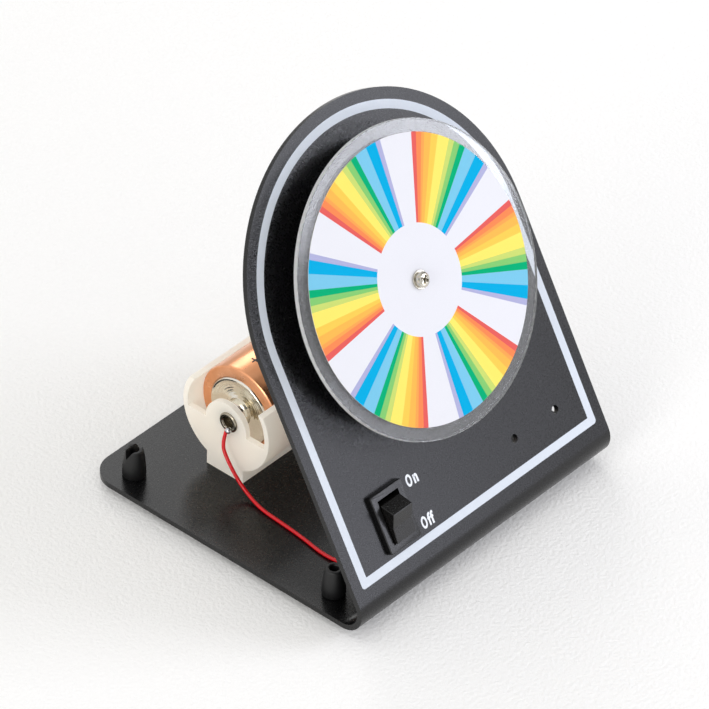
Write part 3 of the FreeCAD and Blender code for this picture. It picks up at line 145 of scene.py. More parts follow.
class Nodes:
    """The node tree of a material or of the world, in the making."""

    def __init__(self, owner: bpy.types.Material | bpy.types.World) -> None:
        """Starts with an empty tree.

        Args:
            owner: The material or the world that is built.
        """
        owner.use_nodes = True
        self.tree = owner.node_tree
        self.tree.nodes.clear()

    def add(self, kind: str, inputs: dict | None = None, **settings: str) -> bpy.types.Node:
        """Adds one node.

        Args:
            kind: The node's type without its first word.
            inputs: Socket name or index to a value, or to the output socket that feeds it.
            settings: Choices to set on the node.

        Returns:
            The new node.
        """
        node = self.tree.nodes.new("ShaderNode" + kind)
        for name, value in settings.items():
            setattr(node, name, value)
        for name, value in (inputs or {}).items():
            if isinstance(value, Socket):
                self.tree.links.new(value, node.inputs[name])
            else:
                node.inputs[name].default_value = value
        return node

    def number(self, operation: str, *values: object) -> Socket:
        """Works a number out from other numbers and sockets."""
        return self.add("Math", dict(enumerate(values)), operation=operation).outputs[0]

    def mapped(self, value: Socket, source: Pair, target: Pair, **settings: str) -> Socket:
        """Maps a value from one range to another."""
        limits = zip(("From Min", "From Max", "To Min", "To Max"), (*source, *target))
        return self.add("MapRange", {"Value": value, **dict(limits)}, **settings).outputs[0]

    def mixed(self, share: object, first: object, second: object) -> Socket:
        """Mixes two colours by the second one's share."""
        return self.add("Mix", {0: share, 6: first, 7: second}, data_type="RGBA").outputs[2]


@dataclass(frozen=True)
class Finish:
    """A surface finish: one base colour with a fine grain in colour, gloss and relief."""

    name: str
    colour: str
    shade: str
    roughness: float
    metallic: float = 0.0
    ior: float = 1.5
    grain_mm: float = 1.0
    stretch: Point = (1.0, 1.0, 1.0)
    relief_mm: float = 0.0
    gloss_spread: float = 0.05
    subsurface: float = 0.0
    coat: float = 0.0
    transmission: float = 0.0
    gloss: float = 0.5
    through: float = 0.0
    # Emission strength: painted light that the surface gives off itself, which no lamp casts.
    painted_glow: float = 0.0

    @cache
    def build(self) -> bpy.types.Material:
        """Makes the material when it is first asked for, and gives the same one from then on.

        Returns:
            The finished Blender material.
        """
        material = bpy.data.materials.new(self.name)
        nodes = Nodes(material)
        place = nodes.add("TexCoord").outputs["Object"]
        spread = nodes.add("Mapping", {"Vector": place, "Scale": self.stretch}).outputs[0]
        grain = nodes.add("TexNoise", {
            "Vector": spread, "Scale": 1.0 / (self.grain_mm * MM), "Detail": 3.0}).outputs[0]
        glossy, dull = self.roughness - self.gloss_spread, self.roughness + self.gloss_spread
        surface = {
            "Base Color": self.tone(nodes, place, grain),
            "Roughness": nodes.mapped(grain, (0.3, 0.7), (glossy, dull)),
            "Metallic": self.metallic, "IOR": self.ior, "Specular IOR Level": self.gloss,
            "Subsurface Weight": self.subsurface, "Subsurface Scale": LIGHT_DEPTH * MM,
            "Subsurface Radius": (1.0, 0.8, 0.6), "Coat Weight": self.coat,
            "Transmission Weight": self.transmission, "Emission Strength": self.painted_glow,
            "Emission Color": linear(self.colour)}
        if self.relief_mm:
            surface["Normal"] = nodes.add("Bump", {
                "Height": self.height(nodes, place, grain), "Distance": self.relief_mm * MM,
                "Strength": 1.0}).outputs[0]
        shown = nodes.add("BsdfPrincipled", surface).outputs[0]
        if self.through:
            # A thin wall lets some of the light from behind it through.
            lit = nodes.add("BsdfTranslucent", {"Color": linear(self.colour)}).outputs[0]
            shown = nodes.add("MixShader", {0: self.through, 1: shown, 2: lit}).outputs[0]
        nodes.add("OutputMaterial", {0: shown})
        return material

    def height(self, nodes: Nodes, place: Socket, grain: Socket) -> Socket:
        """Gives the height of the relief, which is the plain grain."""
        return grain

    def tone(self, nodes: Nodes, place: Socket, grain: Socket) -> Socket:
        """Gives the colour, which drifts between the two tones of the finish."""
        return nodes.mixed(grain, linear(self.colour), linear(self.shade))


@dataclass(frozen=True)
class SectorPrint(Finish):
    """Coated paper printed with repeated groups of colour bands round its middle."""

    groups: int = 6
    first_deg: float = 23.4
    inner_mm: float = 18.6
    bands: tuple[tuple[float, str], ...] = ()

    def tone(self, nodes: Nodes, place: Socket, grain: Socket) -> Socket:
        """Gives the colour bands, found from each point's angle and distance on the disc.

        Args:
            nodes: The material's node tree.
            place: The point's place on the object.
            grain: The noise.

        Returns:
            The colour's socket.
        """
        to_disc = spinner_frame().inverted()
        turned = nodes.add("Mapping", {
            "Vector": place, "Location": to_disc.translation, "Rotation": to_disc.to_euler(),
            "Scale": to_disc.to_scale()}, vector_type="POINT")
        x, y, _ = nodes.add("SeparateXYZ", {0: turned.outputs[0]}).outputs
        group = math.tau / self.groups
        turn = nodes.number("SUBTRACT", nodes.number("ARCTAN2", x, y), math.radians(self.first_deg))
        share = nodes.number("DIVIDE", nodes.number("FLOORED_MODULO", turn, group), group)
        ramp = nodes.add("ValToRGB", {0: share})
        self.fill_ramp(ramp.color_ramp)
        flat = nodes.add("CombineXYZ", {0: x, 1: y})
        radius = nodes.add("VectorMath", {0: flat.outputs[0]}, operation="LENGTH")
        printed = nodes.number("GREATER_THAN", radius.outputs["Value"], self.inner_mm)
        ink = nodes.mixed(printed, linear(self.colour), ramp.outputs[0])
        # Uncoated fibres show through the ink as a faint unevenness.
        fibre = nodes.mapped(grain, (0.0, 1.0), (0.88, 0.94))
        return nodes.add("VectorMath", {0: ink, "Scale": fibre}, operation="SCALE").outputs[0]

    def fill_ramp(self, ramp: bpy.types.ColorRamp) -> None:
        """Writes one group's bands, then the bare paper up to the next group.

        Args:
            ramp: The colour ramp to fill.
        """
        ramp.interpolation = "CONSTANT"
        at = 0.0
        for index, (width_deg, code) in enumerate((*self.bands, (0, self.colour))):
            stop = ramp.elements[index] if index < len(ramp.elements) else ramp.elements.new(at)
            stop.position = at
            stop.color = linear(code)
            at += width_deg * self.groups / 360.0


@dataclass(frozen=True)
class TurnedMetal(Finish):
    """Bare metal with fine rings left by the tool round one axis along x."""

    centre_mm: Pair = (0.0, 0.0)
    spacing_mm: float = 1.0

    def height(self, nodes: Nodes, place: Socket, grain: Socket) -> Socket:
        """Gives the height of the tool's rings, broken up a little by the grain.

        Args:
            nodes: The material's node tree.
            place: The point's place on the object.
            grain: The noise.

        Returns:
            The height's socket.
        """
        back, up = self.centre_mm
        centred = nodes.add("Mapping", {
            "Vector": place, "Location": (0.0, -back * MM, -up * MM)}, vector_type="POINT")
        rings = nodes.add("TexWave", {
            "Vector": centred.outputs[0], "Scale": math.tau / (20.0 * self.spacing_mm * MM),
            "Distortion": 0.6, "Detail": 1.0}, wave_type="RINGS", rings_direction="X")
        return nodes.number("MULTIPLY_ADD", grain, 0.3, rings.outputs["Fac"])


# One group of the printed bands: each one's width in degrees and its colour.
BANDS = (
    (2.4, "#E2605C"), (2.8, "#FA8954"), (1.7, "#FBA454"), (3.6, "#FDB652"), (3.5, "#FECA55"),
    (6.1, "#FEE56C"), (2.8, "#C7D771"), (2.9, "#83C670"), (3.1, "#00AC73"), (6.4, "#7AC4E2"),
    (5.4, "#00AADC"), (2.5, "#AEAFD4"),
)


class Finishes:
    """Every finish of the object and the floor."""

    # Baked satin enamel on sheet steel: deep black with a soft sheen and slight orange peel.
    enamel = Finish("black_enamel", "#060607", "#0A0A0B", 0.28, grain_mm=0.8, relief_mm=0.0006,
                    gloss_spread=0.03, gloss=0.4)
    # Screen-printed ink: a flat, slightly chalky grey-white film.
    ink = Finish("white_ink", "#D2D8E0", "#C9D0D9", 0.5, grain_mm=0.5, relief_mm=0.002, gloss=0.3)
    # The same ink laid thicker in the small letters, so brighter.
    letter_ink = Finish("letter_ink", "#F0F3F8", "#E9EDF3", 0.5, grain_mm=0.5, relief_mm=0.002,
                        gloss=0.3)
    # The cell's print: brown-black and dull on the bright film.
    dark_ink = Finish("dark_ink", "#1C1714", "#2A2320", 0.5, grain_mm=0.5)
    # Moulded natural rubber: matte black, faintly grey where it is handled.
    rubber = Finish("moulded_rubber", "#070708", "#0F0F10", 0.5, grain_mm=1.4, relief_mm=0.015)
    # Injection-moulded polypropylene: milky, letting some light through its walls, with a soft
    # emission that is painted light standing in for the bright light around it.
    milky = Finish("milky_polypropylene", "#FDFAF3", "#FAF6EB", 0.42, ior=1.49, grain_mm=9.0,
                   relief_mm=0.02, gloss=0.3, through=0.48, painted_glow=0.16)
    # Metallised shrink film: clear-coated copper colour, slightly uneven along the cell.
    copper_film = Finish("copper_film", "#F0AE82", "#E29662", 0.3, metallic=0.9, grain_mm=3.0,
                         stretch=(0.35, 1.0, 1.0), relief_mm=0.035, coat=0.4)
    # Nickel-plated deep-drawn steel: warm mirror with faint draw rings.
    nickel = Finish("nickel_plate", "#E3DCCB", "#D2C8B3", 0.15, metallic=1.0, grain_mm=0.8,
                    stretch=(4.0, 1.0, 1.0), relief_mm=0.003)
    # The cell's pressed end: bright nickel with rings from the die, seen as fine dark lines.
    pressed = TurnedMetal("pressed_nickel", "#ECE8DE", "#DCD6C8", 0.13, metallic=1.0,
                          grain_mm=0.8, relief_mm=0.03, centre_mm=(26.53, 27.6))
    # Nickel of the eyelets, a little rougher than the cell's, its colour darkened as painted shade
    # for their dark bores.
    rivet = Finish("shade_darkened_nickel", "#B5AD9C", "#8E8676", 0.2, metallic=1.0, grain_mm=0.6,
                   relief_mm=0.004)
    # Zinc-plated screws: pale, slightly clouded metal.
    zinc = Finish("zinc_plate", "#D6D2C8", "#BEB8AA", 0.17, metallic=1.0, grain_mm=0.7,
                  relief_mm=0.003)
    # Drawn and zinc-flashed motor can: soft grey metal drawn along its length.
    drawn = Finish("drawn_steel", "#B9BABB", "#9FA0A2", 0.33, metallic=1.0, grain_mm=0.6,
                   stretch=(1.0, 0.3, 0.3), relief_mm=0.003)
    # Cast acrylic: colourless and polished, with the faintest haze of handling.
    acrylic = Finish("cast_acrylic", "#FFFFFF", "#F8FAFA", 0.07, ior=1.49, grain_mm=40.0,
                     gloss_spread=0.02, transmission=0.94, gloss=0.4)
    # The disc's sawn edge: the same plastic, frosted by the saw.
    sawn = Finish("sawn_acrylic", "#FFFFFF", "#F4F6F6", 0.45, ior=1.49, grain_mm=0.5,
                  relief_mm=0.02, transmission=0.55)
    # Coated label paper with spectrum-order colour bands.
    paper = SectorPrint("printed_label_paper", "#E6E6EB", "#E0E1E6", 0.5, grain_mm=0.35,
                        relief_mm=0.003, gloss=0.03, bands=BANDS)
    # The label's back: plain paper with its gum.
    paper_back = Finish("gummed_paper", "#DEDDD8", "#D6D4CE", 0.6, grain_mm=0.35, relief_mm=0.003)
    # Glass-filled nylon with a fine spark-eroded texture: dark, dull sheen.
    nylon = Finish("black_nylon", "#09090A", "#0E0E0F", 0.3, grain_mm=0.35, relief_mm=0.005)
    # The lever's nylon: the same black, rubbed a little glossier by fingers.
    lever = Finish("black_rocker_nylon", "#0A0909", "#0F0E0D", 0.26, grain_mm=0.3,
                   relief_mm=0.004)
    # Unfilled nylon of the motor's cap: cream-coloured and waxy.
    natural_nylon = Finish("natural_nylon", "#E4E0D2", "#D9D4C4", 0.45, grain_mm=1.2,
                           subsurface=0.15, relief_mm=0.006)
    # Tinned brass terminals: pale metal with a yellow cast.
    tinned = Finish("tinned_brass", "#CFCBBE", "#B7B09C", 0.28, metallic=1.0, grain_mm=0.9)
    # Fresh tin solder: bright and slightly grainy.
    tin = Finish("tin_solder", "#D9DADC", "#B8B9BC", 0.2, metallic=1.0, grain_mm=0.5,
                 relief_mm=0.02)
    # Plasticised vinyl insulation: saturated red, glossy.
    vinyl = Finish("red_vinyl", "#DC0618", "#CE0413", 0.2, grain_mm=1.6, relief_mm=0.004)
    # Sintered bronze bushings: dull gold-brown with open pores.
    bronze = Finish("sintered_bronze", "#B08850", "#8F6C3C", 0.45, metallic=1.0, grain_mm=0.3,
                    relief_mm=0.01)
    # Ground ferrite magnets: matte charcoal like unglazed stoneware.
    ferrite = Finish("ground_ferrite", "#3A3A3D", "#2C2C2F", 0.6, grain_mm=0.5, relief_mm=0.01)
    # Stacked steel sheets of the core: dark grey under a thin varnish.
    lamination = Finish("varnished_laminations", "#6E6E70", "#525254", 0.45, metallic=0.8,
                        grain_mm=0.5)
    # Enamelled copper wire: red-brown, ribbed turn by turn.
    winding = Finish("enamelled_copper_wire", "#B8622E", "#8E451D", 0.3, metallic=0.8,
                     grain_mm=0.25, stretch=(1.0, 4.0, 1.0), relief_mm=0.03)
    # Turned aluminium hub: cool pale metal with a fine tool finish.
    aluminium = Finish("turned_aluminium", "#C4C6C8", "#AEB0B3", 0.24, metallic=1.0,
                       grain_mm=0.4, relief_mm=0.003)
    # Grained white paper under the object, lit a little from below like a light table.
    sweep = Finish("white_sweep", "#F3F2F0", "#EFEEEC", 0.85, grain_mm=1.4, relief_mm=0.35,
                   gloss=0.2, painted_glow=0.07)


class Blank:
    """A closed shape in the making, in millimetres in the frame of its sub-assembly."""

    def __init__(self) -> None:
        """Starts an empty shape."""
        self.mesh = bmesh.new()

    @classmethod
    def box(cls, low: Point, high: Point) -> "Blank":
        """Makes a box.

        Args:
            low: Its lowest corner.
            high: Its highest corner.

        Returns:
            The new blank.
        """
        blank = cls()
        middle = (Vector(low) + Vector(high)) / 2
        size = Vector(high) - Vector(low)
        bmesh.ops.create_cube(blank.mesh, size=1.0,
                              matrix=Matrix.Translation(middle) @ Matrix.Diagonal((*size, 1.0)))
        return blank

    @classmethod
    def rod(cls, radius: float, low: Point, high: Point, segments: int,
            end_radius: float | None = None) -> "Blank":
        """Makes a rod or cone between two points.

        Args:
            radius: Its radius at the low end.
            low: The middle of its low end.
            high: The middle of its high end.
            segments: How many faces go round it.
            end_radius: Its radius at the high end, if that differs.

        Returns:
            The new blank.
        """
        blank = cls()
        along = Vector(high) - Vector(low)
        turn = along.to_track_quat("Z", "Y").to_matrix().to_4x4()
        middle = Matrix.Translation((Vector(low) + Vector(high)) / 2)
        bmesh.ops.create_cone(blank.mesh, cap_ends=True, segments=segments, radius1=radius,
                              radius2=radius if end_radius is None else end_radius,
                              depth=along.length, matrix=middle @ turn)
        return blank

    @classmethod
    def turned(cls, profile: Sequence[Pair], segments: int) -> "Blank":
        """Turns a closed or axis-to-axis profile about z.

        Args:
            profile: Points as (distance from the axis, height).
            segments: How many faces go round it.

        Returns:
            The new blank.
        """
        blank = cls()
        bm = blank.mesh
        points = [bm.verts.new((distance, 0.0, height)) for distance, height in profile]
        closed = profile[0][0] > 0 or profile[-1][0] > 0
        pairs = list(zip(points, points[1:])) + ([(points[-1], points[0])] if closed else [])
        edges = [bm.edges.new(pair) for pair in pairs]
        bmesh.ops.spin(bm, geom=points + edges, cent=(0, 0, 0), axis=(0, 0, 1),
                       angle=math.tau, steps=segments, use_merge=True)
        bmesh.ops.remove_doubles(bm, verts=bm.verts, dist=1e-4)
        bmesh.ops.recalc_face_normals(bm, faces=bm.faces)
        return blank

    @classmethod
    def ring(cls, inner: float, outer: float, low: float, high: float, segments: int) -> "Blank":
        """Turns a flat ring about z, between two radii and two heights."""
        return cls.turned([(inner, low), (outer, low), (outer, high), (inner, high)], segments)

    @classmethod
    def slab(cls, corners: Sequence[Point], low: float, high: float) -> "Blank":
        """Makes a flat slab from a few corners, each with its own rounding.

        Args:
            corners: Corners in order as (x, y, rounding radius).
            low: Height of its underside.
            high: Height of its top.

        Returns:
            The new blank.
        """
        blank = cls()
        bm = blank.mesh
        points = [bm.verts.new((x, y, low)) for x, y, _ in corners]
        bm.faces.new(points)
        for point, (_, _, radius) in zip(points, corners):
            if radius:
                blank.round_corner(point, radius, 6)
        lifted = bmesh.ops.extrude_face_region(bm, geom=list(bm.faces))["geom"]
        moved = [item for item in lifted if isinstance(item, bmesh.types.BMVert)]
        bmesh.ops.translate(bm, verts=moved, vec=(0, 0, high - low))
        bmesh.ops.recalc_face_normals(bm, faces=bm.faces)
        return blank

    @classmethod
    def node_copy(cls, node: str) -> "Blank":
        """Copies a node's mesh, with its loose triangles joined up again.

        Args:
            node: The node's name.

        Returns:
            The new blank, in the row frame but in millimetres.
        """
        blank = cls()
        bm = blank.mesh
        bm.from_mesh(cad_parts[node].data)
        bmesh.ops.scale(bm, vec=(1 / MM,) * 3, verts=bm.verts)
        bmesh.ops.remove_doubles(bm, verts=bm.verts, dist=2e-3)
        bmesh.ops.dissolve_limit(bm, angle_limit=math.radians(0.5), verts=bm.verts, edges=bm.edges)
        bmesh.ops.recalc_face_normals(bm, faces=bm.faces)
        return blank

    def round_corner(self, corner: bmesh.types.BMVert, radius: float, segments: int) -> None:
        """Rounds one corner of a flat face."""
        bmesh.ops.bevel(self.mesh, geom=[corner], offset=radius, offset_type="OFFSET",
                        segments=segments, profile=0.5, material=-1, affect="VERTICES")

    def pull(self, edge: bmesh.types.BMEdge, way: Vector) -> bmesh.types.BMEdge:
        """Pulls an edge out into a new face.

        Args:
            edge: The edge that is pulled.
            way: How far it goes.

        Returns:
            The far edge of the new face.
        """
        made = bmesh.ops.extrude_edge_only(self.mesh, edges=[edge])["geom"]
        ends = [item for item in made if isinstance(item, bmesh.types.BMVert)]
        bmesh.ops.translate(self.mesh, vec=way, verts=ends)
        return next(item for item in made if isinstance(item, bmesh.types.BMEdge))

    def moved(self, matrix: Matrix) -> "Blank":
        """Moves the whole shape, and gives it back."""
        bmesh.ops.transform(self.mesh, matrix=matrix, verts=self.mesh.verts)
        return self

    def combine(self, other: "Blank", how: Combining) -> "Blank":
        """Joins another blank on, or cuts it out.

        Args:
            other: The other blank, which is used up.
            how: Whether to join or to cut.

        Returns:
            This blank.
        """
        objects = []
        for blank in (self, other):
            mesh = bpy.data.meshes.new("blank")
            blank.mesh.to_mesh(mesh)
            objects.append(placed("blank", mesh))
        modifier = objects[0].modifiers.new("combine", "BOOLEAN")
        modifier.object = objects[1]
        modifier.operation = how.value
        modifier.solver = "EXACT"
        graph = bpy.context.evaluated_depsgraph_get()
        result = bpy.data.meshes.new_from_object(objects[0].evaluated_get(graph))
        self.mesh.clear()
        self.mesh.from_mesh(result)
        bmesh.ops.dissolve_limit(self.mesh, angle_limit=math.radians(0.2), verts=self.mesh.verts,
                                 edges=self.mesh.edges)
        other.mesh.free()
        for mesh in (*[item.data for item in objects], result):
            bpy.data.meshes.remove(mesh)
        return self

    def join(self, other: "Blank") -> "Blank":
        """Joins another blank on."""
        return self.combine(other, Combining.JOIN)

    def cut(self, other: "Blank") -> "Blank":
        """Cuts another blank out."""
        return self.combine(other, Combining.CUT)

    def piece(self, name: str, finish: Finish, place: Matrix, replaces: Iterable[str] = (),
              slot: str | None = None, rounding: float = 0.0, steps: int = 2,
              crease_deg: float = CREASE_DEG, body: Body = Body.STAND) -> bpy.types.Object:
        """Makes the finished piece, which rides on its body.

        Args:
            name: The piece's name.
            finish: Its finish.
            place: The matrix to the row frame in metres.
            replaces: Nodes that it stands for.
            slot: The record's material slot of the piece; not used.
            rounding: Radius in millimetres of its worn or moulded edges.
            steps: How many faces each rounding has.
            crease_deg: Angle from which an edge looks sharp.
            body: The body that it moves with.

        Returns:
            The new object.
        """
        self.moved(place)
        bmesh.ops.remove_doubles(self.mesh, verts=self.mesh.verts, dist=1e-7)
        mesh = bpy.data.meshes.new(name)
        self.mesh.to_mesh(mesh)
        self.mesh.free()
        mesh.materials.append(finish.build())
        mesh.polygons.foreach_set("use_smooth", [True] * len(mesh.polygons))
        mesh.set_sharp_from_angle(angle=math.radians(crease_deg))
        piece = placed(name, mesh)
        if rounding:
            edge = piece.modifiers.new("edges", "BEVEL")
            edge.width = rounding * MM
            edge.segments = steps
            edge.limit_method = "ANGLE"
            edge.angle_limit = math.radians(ROUNDED_DEG)
            edge.harden_normals = True
        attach(piece, body.value)
        if replaces:
            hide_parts(*replaces)
        return piece


@dataclass(frozen=True)
class Letter:
    """One printed letter: its sign, its place along the line, its width and its height."""

    sign: str
    left: float
    width: float
    height: float
    pen: float = 0.036

    def shape(self, thickness: float) -> bpy.types.Mesh:
        """Draws the letter, narrowed first and thickened after, so that its strokes stay even.

        Args:
            thickness: Thickness of the printed film in millimetres.

        Returns:
            The letter's mesh in millimetres, standing on the line.
        """
        text = bpy.data.curves.new(self.sign, "FONT")
        text.body = self.sign
        drawn = placed(self.sign, text)
        bpy.context.view_layer.update()
        natural = drawn.dimensions
        scale = self.height / (natural.y + 2 * self.pen)
        narrow = (self.width / scale - 2 * self.pen) / natural.x
        curve = drawn.to_curve(bpy.context.evaluated_depsgraph_get()).copy()
        curve.transform(Matrix.Diagonal((narrow, 1.0, 1.0, 1.0)))
        curve.extrude = 0.5
        curve.offset = self.pen
        solid = bpy.data.objects.new(self.sign, curve)
        mesh = bpy.data.meshes.new_from_object(solid)
        for spare in (drawn, solid):
            bpy.data.objects.remove(spare)
        for spare in (text, curve):
            bpy.data.curves.remove(spare)
        low = Vector([min(vertex.co[axis] for vertex in mesh.vertices) for axis in range(3)])
        mesh.transform(Matrix.Translation((self.left, 0.0, 0.0))
                       @ Matrix.Diagonal((scale, scale, thickness, 1.0)) @ Matrix.Translation(-low))
        return mesh


@dataclass
class View:
    """The camera at the photograph's place, with its lens."""

    place: Point = (-1.29305, -1.08363, 1.39880)
    right: Point = (0.65927433, -0.75135334, 0.02873182)
    down: Point = (-0.45453213, -0.42868619, -0.78078723)
    forward: Point = (0.59896403, 0.50169344, -0.62413603)
    lens: float = 330.81
    sensor: float = 36.0

    def build(self) -> None:
        """Makes the scene's camera."""
        data = bpy.data.cameras.new("camera")
        data.lens = self.lens
        data.sensor_width = self.sensor
        data.clip_start, data.clip_end = 0.05, 50.0
        camera = placed("camera", data)
        turn = Matrix((self.right, -Vector(self.down), -Vector(self.forward))).transposed()
        camera.matrix_world = Matrix.Translation(self.place) @ turn.to_4x4()
        bpy.context.scene.camera = camera


@dataclass
class Lead:
    """The red lead from the eyelet to the switch, lying on the base between them."""

    diameter: float = 1.3
    length: float = 86.1
    # Points in metres in the row frame, from the eyelet on.
    route: tuple[Point, ...] = (
        (-0.0342, 0.0249, 0.0256), (-0.0362, 0.0253, 0.0205), (-0.0373, 0.0220, 0.0164),
        (-0.0378, 0.0166, 0.0107), (-0.0378, 0.0113, 0.0067), (-0.0394, 0.0043, 0.0057),
        (-0.0400, -0.0051, 0.0057), (-0.0408, -0.0151, 0.0057), (-0.0424, -0.0246, 0.0057),
        (-0.0422, -0.0311, 0.0057), (-0.0405, -0.03595, 0.00602), (-0.0382, -0.03924, 0.00888),
        (-0.0370, -0.03999, 0.01312), (-0.0370, -0.03784, 0.01684),
    )

    def build(self) -> None:
        """Makes the lead as a smooth curve."""
        curve = bpy.data.curves.new("lead", "CURVE")
        curve.dimensions = "3D"
        curve.bevel_depth = self.diameter / 2 * MM
        curve.bevel_resolution = 8
        curve.resolution_u = 16
        curve.use_fill_caps = True
        line = curve.splines.new("NURBS")
        line.points.add(len(self.route) - 1)
        for point, place in zip(line.points, self.route):
            point.co = (*place, 1.0)
        line.order_u = 3
        line.use_endpoint_u = True
        curve.materials.append(Finishes.vinyl.build())
        lead = placed("lead", curve)
        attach(lead, Body.STAND.value)
        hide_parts("red_lead")


@dataclass
class Foot:
    """A pull-through rubber foot with a hollow barbed stem, torn at its rim or whole."""

    name: str
    across: float
    back: float
    torn: bool = False
    tear_depth: float = 2.6
    rim: float = 12.6
    profile: tuple[Pair, ...] = (
        (0, -3), (5.6, -3), (6.2, -2.4), (6.2, -0.05), (2.95, -0.05), (2.95, 2.05),
        (3.8, 2.05), (4.1, 2.85), (4, 6.05), (3.6, 9.8), (3.1, 12.6), (2.7, 13), (1.9, 13),
        (1.5, 12.6), (1.5, 5), (0, 4.4),
    )

    def build(self) -> None:
        """Turns the foot, and tears its rim where the real one is torn."""
        blank = Blank.turned(self.profile, 64)
        if self.torn:
            blank.cut(self.notch())
        place = stand_frame() @ Matrix.Translation((self.across, self.back, 0.0))
        blank.piece(self.name + "_rubber", Finishes.rubber, place, [self.name], "foot_rubber",
                    rounding=0.25)

    def notch(self) -> Blank:
        """Makes the wedge that is missing from a torn rim."""
        low, top = self.rim - self.tear_depth, self.rim + PAST
        return Blank.slab([(0.4, low, 0.0), (1.9, top, 0.0), (-1.6, top, 0.0)], -6.0, 6.0).moved(
            ALONG_FOLD)


FEET = (
    Foot("foot_front_left", -54.3, 26.2), Foot("foot_front_right", 54.3, 26.2),
    Foot("foot_rear_left", -54.3, 115.2, True), Foot("foot_rear_right", 54.3, 115.2, True),
)


@dataclass
class Stand:
    """The folded sheet with its holes, its printed border line and its two words."""

    width: float = 127.0
    base_corner: float = 10.0
    line_outer: float = 59.4
    line_inner: float = 56.3
    line_low_outer: float = 18.7
    line_low_inner: float = 21.8
    line_corner: float = 1.2
    inner_corner: float = 0.3
    film: float = 0.04
    seam: float = 1.0
    bend_steps: int = 24
    # A hair's breadth, which keeps the top's two arcs from meeting in one point.
    hair: float = 0.005
    foot_hole: float = 3.0
    screw_hole: float = 1.6
    # Place along the fold, place up the slope and radius of each round hole in the panel.
    panel_holes: tuple[Point, ...] = (
        (0.0, ARCH_HEIGHT, 3.35), (-8.5, ARCH_HEIGHT, 1.5), (8.5, ARCH_HEIGHT, 1.5),
        (23.4, 31.2, 1.5), (44.4, 31.2, 1.5),
    )
    switch_low: Pair = (-43.55, 24.35)
    switch_high: Pair = (-30.45, 43.65)

    def build(self) -> None:
        """Makes the sheet and what is printed on it."""
        self.sheet()
        self.border_line()
        self.words()

    def sheet(self) -> None:
        """Bends, rounds and pierces the sheet."""
        blank = Blank()
        bm = blank.mesh
        half = self.width / 2
        slope = Vector((0.0, math.cos(LEAN), math.sin(LEAN)))
        edge = bm.edges.new([bm.verts.new((side * half, STAND_DEPTH, 0.0)) for side in (-1, 1)])
        edge = blank.pull(edge, Vector((0, BEND_CENTRE + self.seam - STAND_DEPTH, 0)))
        edge = blank.pull(edge, Vector((0, -self.seam, 0)))
        swept = bmesh.ops.spin(bm, geom=[edge, *edge.verts], cent=(0, BEND_CENTRE, BEND_OUTER),
                               axis=(-1, 0, 0), angle=math.pi - LEAN, steps=self.bend_steps,
                               use_merge=False)["geom_last"]
        edge = next(item for item in swept if isinstance(item, bmesh.types.BMEdge))
        edge = blank.pull(edge, slope * self.seam)
        edge = blank.pull(edge, slope * (ARCH_HEIGHT + half - BEND_CENTRE - self.seam))
        for corner in list(edge.verts):
            blank.round_corner(corner, half - self.hair, 64)
        for corner in [vert for vert in bm.verts if vert.co.y > STAND_DEPTH - self.hair]:
            blank.round_corner(corner, self.base_corner, 16)
        bmesh.ops.recalc_face_normals(bm, faces=bm.faces)
        base = min(bm.faces, key=lambda face: face.calc_center_median().z)
        inward = SHEET if base.normal.z < 0 else -SHEET
        bmesh.ops.solidify(bm, geom=list(bm.faces), thickness=inward)
        bmesh.ops.recalc_face_normals(bm, faces=bm.faces)
        for cutter in self.holes():
            blank.cut(cutter)
        blank.piece("stand_sheet", Finishes.enamel, stand_frame(), ["stand"], "black_enamel",
                    rounding=0.25, steps=3)

    def holes(self) -> list[Blank]:
        """Gives what is cut out of the sheet.

        Returns:
            One blank for each hole.
        """
        lean = Matrix.Rotation(LEAN, 4, "X")
        under = -SHEET - PAST
        cutters = [Blank.rod(radius, (across, slope, under), (across, slope, PAST), 48)
                   for across, slope, radius in self.panel_holes]
        cutters.append(Blank.box((*self.switch_low, under), (*self.switch_high, PAST)))
        for cutter in cutters:
            cutter.moved(lean)
        plate = [(foot.across, foot.back, self.foot_hole) for foot in FEET]
        plate += [(across, HOLDER_BACK, self.screw_hole) for across in HOLDER_SCREWS]
        for x, y, radius in plate:
            cutters.append(Blank.rod(radius, (x, y, -PAST), (x, y, SHEET + PAST), 48))
        return cutters

    def border_line(self) -> None:
        """Prints the white line round the panel."""
        line = self.arch(self.line_outer, self.line_low_outer, self.line_corner, 0.0, self.film)
        line.cut(self.arch(self.line_inner, self.line_low_inner, self.inner_corner, -PAST, PAST))
        line.piece("border_line", Finishes.ink, panel_frame(0, 0), slot="black_enamel")

    @staticmethod
    def arch(half: float, low: float, corner: float, under: float, over: float) -> Blank:
        """Makes a slab with two rounded lower corners and a half-round top on the panel."""
        body = Blank.slab([(-half, low, corner), (half, low, corner), (half, ARCH_HEIGHT, 0.0),
                           (-half, ARCH_HEIGHT, 0.0)], under, over)
        return body.join(Blank.rod(half, (0, ARCH_HEIGHT, under), (0, ARCH_HEIGHT, over), 192))

    def words(self) -> None:
        """Prints the two words beside the switch."""
        capital = Letter("O", 0.0, 2.7, 4.4)
        on = (capital, Letter("n", 3.35, 2.1, 3.2))
        off = (capital, Letter("f", 3.1, 1.6, 4.45), Letter("f", 4.55, 1.6, 4.45))
        for name, signs, left, slope in (("word_on", on, -26.32, 38.8),
                                         ("word_off", off, -26.7, 23.5)):
            blank = Blank()
            for sign in signs:
                drawn = sign.shape(self.film)
                blank.mesh.from_mesh(drawn)
                bpy.data.meshes.remove(drawn)
            blank.piece(name, Finishes.letter_ink, panel_frame(left, slope))


